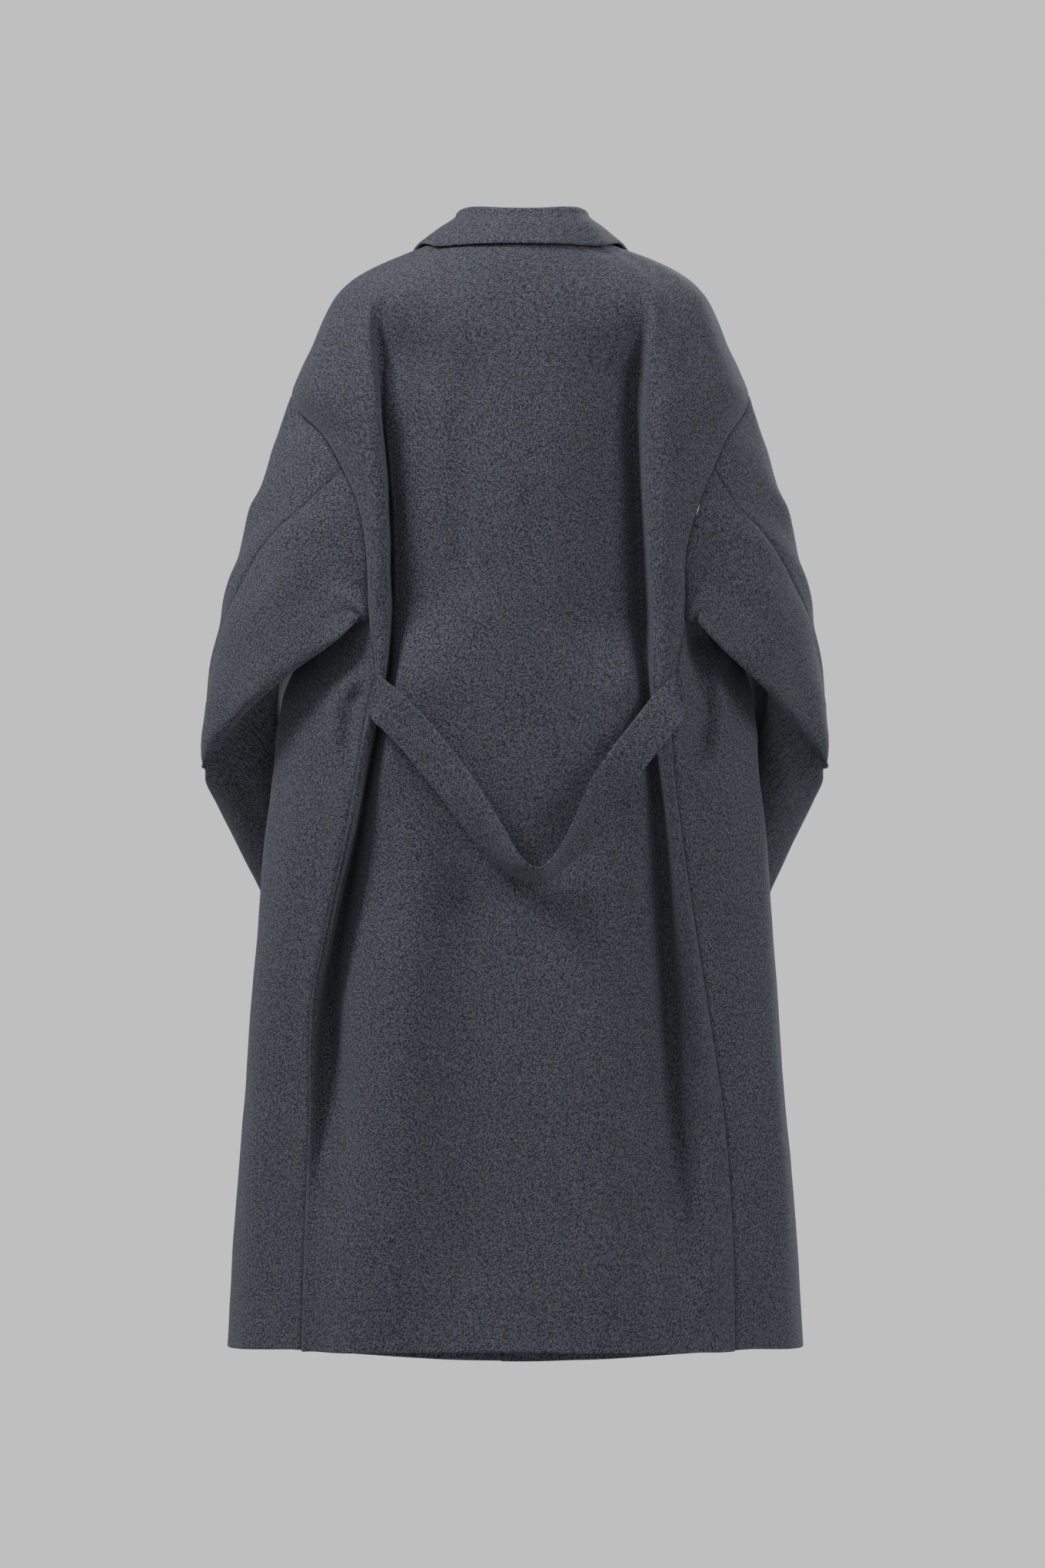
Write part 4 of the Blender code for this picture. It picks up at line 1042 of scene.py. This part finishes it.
FRONT_CREASES = (
    # from the armholes, down the chest, from the buttons and down the skirt
    Crease(Face.FRONT, ((180, -300), (150, -380), (132, -520)), -3.0, 14, 12, 60, ("front",)),
    Crease(Face.FRONT, ((-178, -300), (-146, -390), (-128, -540)), -3.0, 12, 14, 60, ("front",)),
    Crease(Face.FRONT, ((96, -120), (104, -240), (96, -360)), 1.8, 18, 16, 60, ("front",)),
    Crease(Face.FRONT, ((-92, -120), (-98, -250), (-90, -380)), 1.6, 16, 18, 60, ("front",)),
    Crease(Face.FRONT, ((12, -140), (40, -180), (70, -200)), -1.2, 10, 10, 20, ("front",)),
    Crease(Face.FRONT, ((12, -300), (48, -330), (84, -340)), -1.2, 10, 12, 22, ("front",)),
    Crease(Face.FRONT, ((12, -470), (50, -510), (90, -530)), -1.4, 12, 12, 26, ("front",)),
    Crease(Face.FRONT, ((14, -640), (40, -760), (54, -940)), -2.4, 18, 20, 60, ("front_left",)),
    Crease(Face.FRONT, ((-40, -640), (-48, -800), (-44, -980)), 2.0, 20, 18, 70, ("front_right",)),
    Crease(Face.FRONT, ((120, -620), (134, -860), (150, -1100)), 2.4, 18, 20, 80, ("front",)),
    Crease(Face.FRONT, ((-116, -600), (-130, -860), (-150, -1110)), 2.4, 20, 18, 80, ("front",)),
    # sides of the fronts
    Crease(Face.LEFT, ((-40, -460), (-30, -700), (-24, -1000)), -2.6, 16, 14, 80, ("front",)),
    Crease(Face.LEFT, ((40, -560), (56, -800), (60, -1040)), 2.0, 18, 18, 80, ("front",)),
    Crease(Face.RIGHT, ((-36, -460), (-30, -720), (-20, -1010)), -2.6, 14, 16, 80, ("front",)),
    Crease(Face.RIGHT, ((44, -540), (52, -800), (62, -1040)), 2.0, 18, 18, 80, ("front",)),
)
# Long soft swellings that round out each side's outline: height up the side, in or out, width
SWELLINGS = ((-24, -1.6, 14), (-72, -1.6, 18), (-136, -1.4, 16), (-216, 2.0, 18),
             (-248, 2.0, 18), (-312, 2.2, 20), (-376, 2.4, 22), (-408, 1.4, 20),
             (-472, 2.0, 16), (-506, 2.0, 16))
OUTLINE_CREASES = tuple(
    Crease(face, ((-110, z), (110, z)), height, width, width, 40, ("back", "front", "sleeve"))
    for z, height, width in SWELLINGS for face in (Face.LEFT, Face.RIGHT))
CREASES = BACK_CREASES + SLEEVE_CREASES + FRONT_CREASES + OUTLINE_CREASES


# ---------------------------------------------------------------------------------------------
# Sub-assemblies
# ---------------------------------------------------------------------------------------------

@dataclass
class Body:
    """The back, the two fronts and the facings behind their edges."""

    finish: bpy.types.Material
    facing_finish: bpy.types.Material
    hem_turned: float = 1.8
    back_drop: float = 3.6
    front_drop: float = 1.2
    back: Cut = Cut(28, 33, hint=(0, 0, -60), free=("bottom",), step_across=5.0, step_down=6.0,
                    flat=(0.64, 1.2), area=0.555)
    front_left: Cut = Cut(28, 20, hint=(0, 0, -100), free=("bottom", "last"),
                          inner_corner=(15, 9), flat=(0.55, 1.22), area=0.475)
    front_right: Cut = Cut(28, 20, hint=(0, 0, -100), column_way=(1, 0, 0),
                           free=("bottom", "last"), inner_corner=(15, 9),
                           flat=(0.55, 1.22), area=0.475)
    facing_left: Cut = Cut(28, 7, 1.2, free=("first", "bottom"), step_across=9, step_down=14,
                           flat=(0.13, 1.14), area=0.133)
    facing_right: Cut = Cut(28, 7, 1.2, column_way=(1, 0, 0), free=("first", "bottom"),
                            step_across=9, step_down=14, flat=(0.13, 1.14), area=0.133)

    def build(self) -> list[bpy.types.Object]:
        """Build the body's five pieces of cloth.

        Returns:
            The five objects, the back and fronts first.
        """
        built = []
        for name in ("back", "front_left", "front_right"):
            cloth = Cloth(name, getattr(self, name))
            cloth.drop(self.back_drop if name == "back" else self.front_drop)
            cloth.crease(CREASES)
            cloth.sew()
            piece = cloth.build(self.finish, self.hem_turned)
            stand_in(piece, cloth)
            built.append(piece)
        for name in ("facing_left", "facing_right"):
            cloth = Cloth(name, getattr(self, name))
            cloth.drop(self.front_drop)
            piece = cloth.build(self.facing_finish)
            stand_in(piece, cloth)
            built.append(piece)
        return built


@dataclass
class Sleeve:
    """One two-piece sleeve."""

    side: str
    finish: bpy.types.Material
    cuff_turned: float = 1.6
    tip_height: float = -543.0
    tip_reach: float = 11.0
    tip_depth: float = 4.0

    def build(self) -> list[bpy.types.Object]:
        """Build the sleeve's top and under pieces.

        Returns:
            The two objects.
        """
        x = 200.0 if self.side == "left" else -200.0
        built = []
        for part, columns, flat, area in (("top", 10, (0.26, 0.66), 0.088),
                                          ("under", 15, (0.36, 0.64), 0.118)):
            name = f"sleeve_{part}_{self.side}"
            cut = Cut(19, columns, hint=(x, 0, -300), column_way=(0, -1, 0), free=("bottom",),
                      step_across=5.0, step_down=5.5, flat=flat, area=area, tuck=1.6)
            cloth = Cloth(name, cut)
            cloth.crease(CREASES)
            cloth.draw_in(self.tip_height, self.tip_reach, self.tip_depth)
            cloth.sew()
            piece = cloth.build(self.finish, self.cuff_turned)
            stand_in(piece, cloth)
            built.append(piece)
        return built


@dataclass
class Collar:
    """The turn-down collar: stand, fold and fall."""

    finish: bpy.types.Material
    cut: Cut = Cut(49, 9, hint=(0, 0, 0), row_way=(-1, 0, 0), column_way=(0, 0, -1),
                   free=("top", "bottom", "last"), step_across=3.0, step_down=4.5,
                   flat=(0.13, 0.58), area=0.057, held="folded")

    def build(self) -> list[bpy.types.Object]:
        """Build the collar.

        Returns:
            The one object.
        """
        cloth = Cloth("collar", self.cut)
        cloth.crease(CREASES)
        piece = cloth.build(self.finish, 0.9)
        stand_in(piece, cloth)
        return [piece]


@dataclass
class HalfBelt:
    """The slack strap across the back."""

    finish: bpy.types.Material
    cut: Cut = Cut(37, 4, 3.0, row_way=(-1, 0, 0), column_way=(0, 0, -1),
                   free=("first", "last"), step_across=3.0, step_down=4.0,
                   flat=(0.04, 0.52), area=0.0206)

    def build(self) -> list[bpy.types.Object]:
        """Build the strap.

        Returns:
            The one object.
        """
        cloth = Cloth("half_belt", self.cut)
        piece = cloth.build(self.finish)
        stand_in(piece, cloth)
        return [piece]


def add_mesh(name: str, points: Sequence[Any], faces: Sequence[Sequence[int]],
             finish: bpy.types.Material) -> bpy.types.Object:
    """Add a smooth mesh to the scene, from points in millimetres.

    Args:
        name: the object's name.
        points: its points.
        faces: the point numbers of each face.
        finish: its material.

    Returns:
        The new object.
    """
    mesh = bpy.data.meshes.new(name)
    mesh.from_pydata([tuple(float(c) * MM for c in point) for point in points], [], list(faces))
    mesh.shade_smooth()
    mesh.materials.append(finish)
    item = bpy.data.objects.new(name, mesh)
    bpy.context.collection.objects.link(item)
    return item


def grain_of_rice(centre: Vector, along: Vector, up: Vector, length: float, thick: float,
                  start: int) -> tuple[list[Vector], list[tuple[int, ...]]]:
    """One short stitch: a slim rounded strand.

    Args:
        centre: its middle.
        along: the way it runs.
        up: the way that its cloth faces.
        length: from end to end.
        thick: across its middle.
        start: how many points come before it in its mesh.

    Returns:
        Its points and faces.
    """
    side = along.cross(up).normalized()
    points, faces = [centre - along * length / 2], []
    rings, sides = 3, 6
    for k in range(rings):
        t = (k + 1) / (rings + 1) * 2 - 1
        wide = thick / 2 * math.sqrt(1 - t * t * 0.9)
        for m in range(sides):
            a = 2 * math.pi * m / sides
            points.append(centre + along * (length / 2 * t)
                          + (side * math.cos(a) + up * math.sin(a)) * wide)
    points.append(centre + along * length / 2)
    last = start + len(points) - 1
    for m in range(sides):
        n = (m + 1) % sides
        faces.append((start, start + 1 + n, start + 1 + m))
        for k in range(rings - 1):
            low, high = start + 1 + k * sides, start + 1 + (k + 1) * sides
            faces.append((low + m, low + n, high + n, high + m))
        low = start + 1 + (rings - 1) * sides
        faces.append((low + m, low + n, last))
    return points, faces


@dataclass(frozen=True)
class StitchRow:
    """A row of stitches along a line drawn on one side, lengthwise or across the line."""

    name: str
    face: Face
    line: tuple[tuple[float, float], ...]
    pitch: float = 5.0
    length: float = 3.0
    thick: float = 0.7
    across: bool = False


@dataclass
class Sewing:
    """Stitches that show on the cloth: beside the belt's ends and round the buttonholes."""

    finish: bpy.types.Material
    cloths: list[bpy.types.Object]
    hole_length: float = 23.0
    hole_end: float = 10.0
    hole_half: float = 1.3
    hole_turn: int = 8
    look_from: float = 400.0
    rows: tuple[StitchRow, ...] = (
        StitchRow("stitches_left", Face.BACK, ((154.5, -404), (152.5, -441))),
        StitchRow("stitches_right", Face.BACK, ((-165.0, -408), (-162.5, -441))),
    )

    def hole(self, k: int) -> StitchRow:
        """The stitched edge of a buttonhole beside button k.

        Args:
            k: the button's number, from the top.

        Returns:
            The row of stitches.
        """
        low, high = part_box(f"button_{k}")
        x = (low[0] + high[0]) / 2 / MM
        z = (low[2] + high[2]) / 2 / MM
        half, turn = self.hole_half, self.hole_turn
        ends = [(x + self.hole_end - self.hole_length, z), (x + self.hole_end, z)]
        loop = []
        for (cx, cz), first in zip(ends, (90, -90)):
            for m in range(turn + 1):
                a = math.radians(first + 180 * m / turn)
                loop.append((cx + half * math.cos(a), cz + half * math.sin(a)))
        return StitchRow(f"buttonhole_{k}", Face.FRONT, tuple(loop + loop[:1]), pitch=0.75,
                         length=2.2, thick=0.6, across=True)

    def build(self) -> list[bpy.types.Object]:
        """Sew every row onto the cloth below it.

        Returns:
            An object for each row.
        """
        built = []
        for row in self.rows + tuple(self.hole(k) for k in (1, 2, 3, 4)):
            piece = self.sew(row)
            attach(piece, ROOT)
            built.append(piece)
        return built

    def sew(self, row: StitchRow) -> bpy.types.Object:
        """Sew one row.

        Args:
            row: where it runs and how its stitches lie.

        Returns:
            The row's object.
        """
        first, second, way = row.face.value
        outward = Vector(way)
        line = [Vector(point) for point in row.line]
        points: list[Vector] = []
        faces: list[tuple[int, ...]] = []
        left = 0.0
        for a, b in zip(line, line[1:]):
            span = (b - a).length
            while left < span:
                flat = a.lerp(b, left / span)
                start = outward * self.look_from
                start[first], start[second] = flat
                heading = Vector((0.0, 0.0, 0.0))
                heading[first], heading[second] = (b - a).normalized()
                left += row.pitch
                found = self.on_cloth(start, -outward)
                if found is None:
                    continue
                place, up = found
                heading = (heading - up * heading.dot(up)).normalized()
                if row.across:
                    heading = heading.cross(up).normalized()
                more, sides = grain_of_rice(place, heading, up, row.length, row.thick, len(points))
                points += more
                faces += sides
            left -= span
        return add_mesh(row.name, points, faces, self.finish)

    def on_cloth(self, start: Vector, way: Vector) -> Optional[tuple[Vector, Vector]]:
        """The first point of cloth from a start along a way, in millimetres, and its normal.

        Args:
            start: where to look from.
            way: the way to look.

        Returns:
            The point and the normal, or None where there is no cloth.
        """
        best = None
        for cloth in self.cloths:
            hit, place, normal, _ = cloth.ray_cast(start * MM, way)
            if hit and (best is None or (place - start * MM).length < best[0]):
                best = ((place - start * MM).length, place / MM, normal.normalized())
        return None if best is None else (best[1], best[2])


@dataclass
class Buttons:
    """The four front buttons, turned, drilled and sewn on."""

    finish: bpy.types.Material
    thread: bpy.types.Material
    count: int = 4
    sides: int = 56
    profile: tuple[tuple[float, float], ...] = (
        (1.0, 3.35), (5.4, 3.35), (6.4, 3.55), (7.4, 3.95), (8.4, 4.4), (9.4, 4.65), (10.3, 4.6),
        (11.1, 4.25), (11.7, 3.6), (12.0, 2.8), (11.9, 2.0), (11.4, 1.4), (10.6, 1.1), (1.0, 1.1))
    hole_radius: float = 1.0
    hole_place: float = 2.0
    strands: tuple[float, ...] = (-0.55, 0.0, 0.55)
    shank_strands: int = 7
    shank_radius: float = 1.1

    def build(self) -> list[bpy.types.Object]:
        """Make each button and its thread on the place of its node.

        Returns:
            The buttons and their threads.
        """
        built = []
        for k in range(1, self.count + 1):
            start, across, down, out = self.seat(f"button_{k}")
            disc = self.disc(f"button_{k}_horn", start, across, down, out)
            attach(disc, ROOT)
            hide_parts(f"button_{k}")
            thread = self.sewn_on(f"button_{k}_thread", start, across, down, out)
            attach(thread, ROOT)
            built += [disc, thread]
        return built

    def seat(self, name: str) -> tuple[Vector, Vector, Vector, Vector]:
        """Where a button sits: its point on the cloth, and the ways across, down and out.

        Args:
            name: the button's node.

        Returns:
            The point and the three ways.
        """
        points, _ = joined(name)
        centre = points.mean(axis=0)
        _, _, axes = np.linalg.svd(points - centre)
        out = Vector(axes[2])
        if out.y > 0:
            out = -out
        depth = (points - centre) @ np.array(out)
        start = Vector(centre) + out * (float(depth.min()) - 0.3)
        across = (Vector((1.0, 0.0, 0.0)) - out * out.x).normalized()
        return start, across, out.cross(across), out

    def disc(self, name: str, start: Vector, across: Vector, down: Vector, out: Vector
             ) -> bpy.types.Object:
        """Turn the button on its profile and drill its four holes.

        Args:
            name: the object's name.
            start: where the button sits on the cloth.
            across: the way across it.
            down: the way down it.
            out: the way out of the cloth.

        Returns:
            The new object.
        """
        rings = self.profile
        points = [start + out * rings[0][1], start + out * rings[-1][1]]
        faces: list[tuple[int, ...]] = []
        for radius, height in rings:
            for m in range(self.sides):
                a = 2 * math.pi * m / self.sides
                points.append(start + out * height
                              + (across * math.cos(a) + down * math.sin(a)) * radius)
        for m in range(self.sides):
            n = (m + 1) % self.sides
            faces.append((0, 2 + m, 2 + n))
            for k in range(len(rings) - 1):
                low, high = 2 + k * self.sides, 2 + (k + 1) * self.sides
                faces.append((low + m, high + m, high + n, low + n))
            last = 2 + (len(rings) - 1) * self.sides
            faces.append((1, last + n, last + m))
        disc = add_mesh(name, points, faces, self.finish)
        for x, y in ((1, 1), (1, -1), (-1, 1), (-1, -1)):
            middle = start + (across * x + down * y) * self.hole_place
            self.drill(disc, middle, across, down, out)
        return disc

    def drill(self, disc: bpy.types.Object, middle: Vector, across: Vector, down: Vector,
              out: Vector) -> None:
        """Drill one hole through a button.

        Args:
            disc: the button.
            middle: the hole's middle, at the cloth.
            across: the way across it.
            down: the way down it.
            out: the way out of the cloth.
        """
        sides = 16
        points = [middle + out * height
                  + (across * math.cos(2 * math.pi * m / sides)
                     + down * math.sin(2 * math.pi * m / sides)) * self.hole_radius
                  for height in (0.0, 6.0) for m in range(sides)]
        faces: list[tuple[int, ...]] = [tuple(range(sides)),
                                        tuple(range(2 * sides - 1, sides - 1, -1))]
        faces += [(m, m + sides, (m + 1) % sides + sides, (m + 1) % sides) for m in range(sides)]
        bit = add_mesh("bit", points, faces, self.finish)
        cutter = disc.modifiers.new("hole", "BOOLEAN")
        cutter.operation, cutter.object, cutter.solver = "DIFFERENCE", bit, "EXACT"
        bpy.context.view_layer.update()
        done = bpy.data.meshes.new_from_object(disc.evaluated_get(
            bpy.context.evaluated_depsgraph_get()))
        disc.modifiers.clear()
        disc.data = done
        bpy.data.objects.remove(bit)

    def sewn_on(self, name: str, start: Vector, across: Vector, down: Vector, out: Vector
                ) -> bpy.types.Object:
        """The strands over the button, and its shank of thread below.

        Args:
            name: the object's name.
            start: where the button sits on the cloth.
            across: the way across it.
            down: the way down it.
            out: the way out of the cloth.

        Returns:
            The new object.
        """
        points: list[Vector] = []
        faces: list[tuple[int, ...]] = []
        for y in (-1, 1):
            for strand in self.strands:
                middle = start + down * (y * self.hole_place + strand) + out * 3.25
                more, sides = grain_of_rice(middle, across, out, 5.2, 1.1, len(points))
                points += more
                faces += sides
        for m in range(self.shank_strands):
            a = 2 * math.pi * m / self.shank_strands
            round_it = (across * math.cos(a) + down * math.sin(a)) * self.shank_radius
            middle = start + round_it + out * 0.9
            more, sides = grain_of_rice(middle, out, across, 3.4, 1.0, len(points))
            points += more
            faces += sides
        return add_mesh(name, points, faces, self.thread)


@dataclass(frozen=True)
class Lamp:
    """A soft square light: its place, its size in metres, its power and where it points."""

    place: Point
    size: float
    watts: float
    aim: Point = (0.0, 0.0, -0.5)


@dataclass
class Studio:
    """A pale floor, soft light and the camera."""

    camera_at: Point = (-0.0028, 6.0, -0.5596)
    lens_mm: float = 132.418
    backdrop: float = 0.521
    ambient: float = 0.20
    sky: float = 0.03
    floor_z: float = -1.62
    floor_radius: float = 1.6
    lamps: tuple[Lamp, ...] = (
        Lamp((1.9, 1.0, 2.0), 0.9, 60.0, (0.0, 0.0, -0.2)),
        Lamp((-2.8, 1.8, 0.9), 1.4, 30.0, (0.0, 0.0, -0.4)),
        Lamp((0.3, 3.0, 3.0), 1.4, 6.0, (0.0, 0.0, -0.4)),
        Lamp((-2.4, -3.6, 1.6), 1.8, 95.0, (0.0, 0.0, -0.5)),
    )

    def build(self) -> None:
        """Build the world, the floor, the lights and the camera."""
        self.world()
        self.floor()
        for k, lamp in enumerate(self.lamps):
            self.light(f"softbox_{k + 1}", lamp)
        bpy.context.scene.view_settings.view_transform = "Standard"
        camera = bpy.data.cameras.new("camera")
        camera.lens, camera.sensor_width = self.lens_mm, 36.0
        holder = bpy.data.objects.new("camera", camera)
        holder.location = self.camera_at
        holder.rotation_euler = (math.radians(90), 0.0, math.radians(180))
        bpy.context.collection.objects.link(holder)
        bpy.context.scene.camera = holder

    def world(self) -> None:
        """Make the plain backdrop, and dimmer surroundings that light the coat from above."""
        world = bpy.data.worlds.new("studio grey")
        world.use_nodes = True
        nodes = Nodes(world.node_tree)
        way = nodes.add("ShaderNodeTexCoord", None, None, "Generated")
        height = Value(nodes, nodes.node("ShaderNodeSeparateXYZ", None, {0: way}).outputs[2])
        glow = nodes.step(height, -0.3, 0.9) * self.sky + self.ambient
        seen = nodes.add("ShaderNodeLightPath", None, None, "Is Camera Ray")
        strength = glow * (1.0 - seen) + seen * self.backdrop
        shade = nodes.add("ShaderNodeBackground", None,
                          {"Color": (1.0, 1.0, 1.0, 1.0), "Strength": strength})
        nodes.node("ShaderNodeOutputWorld", None, {"Surface": shade})
        bpy.context.scene.world = world

    def floor(self) -> None:
        """Lay a round pale floor."""
        sides = 96
        ring = [(self.floor_radius * math.cos(2 * math.pi * k / sides),
                 self.floor_radius * math.sin(2 * math.pi * k / sides), self.floor_z)
                for k in range(sides)]
        mesh = bpy.data.meshes.new("floor")
        mesh.from_pydata(ring, [], [tuple(range(sides))])
        material, nodes = new_material("pale floor")
        place = nodes.add("ShaderNodeTexCoord", None, None, "Object")
        tone = nodes.mix(nodes.noise(place, 3.0), rgba((0.50, 0.50, 0.50)),
                         rgba((0.56, 0.56, 0.56)))
        surface = nodes.add("ShaderNodeBsdfPrincipled", None,
                            {"Base Color": tone, "Roughness": 0.9})
        nodes.node("ShaderNodeOutputMaterial", None, {"Surface": surface})
        mesh.materials.append(material)
        floor = bpy.data.objects.new("floor", mesh)
        bpy.context.collection.objects.link(floor)

    def light(self, name: str, lamp: Lamp) -> None:
        """Hang one soft light.

        Args:
            name: the light's name.
            lamp: its place, size and power.
        """
        data = bpy.data.lights.new(name, "AREA")
        data.shape, data.size, data.energy = "SQUARE", lamp.size, lamp.watts
        holder = bpy.data.objects.new(name, data)
        aim = Vector(lamp.aim) - Vector(lamp.place)
        holder.matrix_world = (Matrix.Translation(lamp.place)
                               @ aim.to_track_quat("-Z", "Y").to_matrix().to_4x4())
        bpy.context.collection.objects.link(holder)


def main() -> None:
    """Build the coat's pieces and the studio, and log how many faces each piece has."""
    logging.basicConfig(level=logging.INFO, format="%(name)s: %(message)s")
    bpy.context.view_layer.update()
    wool = Wool("slate wool").material()
    # the facings get the same wool made darker: painted shade for the inside of the coat
    facing = Wool("facing wool in painted shade", brightness=0.85).material()
    horn = Horn().material()
    thread = Thread().material()
    cloths: list[bpy.types.Object] = []
    for section in (Body(wool, facing), Sleeve("left", wool), Sleeve("right", wool),
                    Collar(wool), HalfBelt(wool)):
        cloths += section.build()
    bpy.context.view_layer.update()
    small = Sewing(thread, cloths[:3]).build() + Buttons(horn, thread).build()
    for piece in cloths + small:
        log.info("%s: %d faces", piece.name, len(piece.data.polygons))
    Studio().build()


if __name__ == "__main__":
    main()
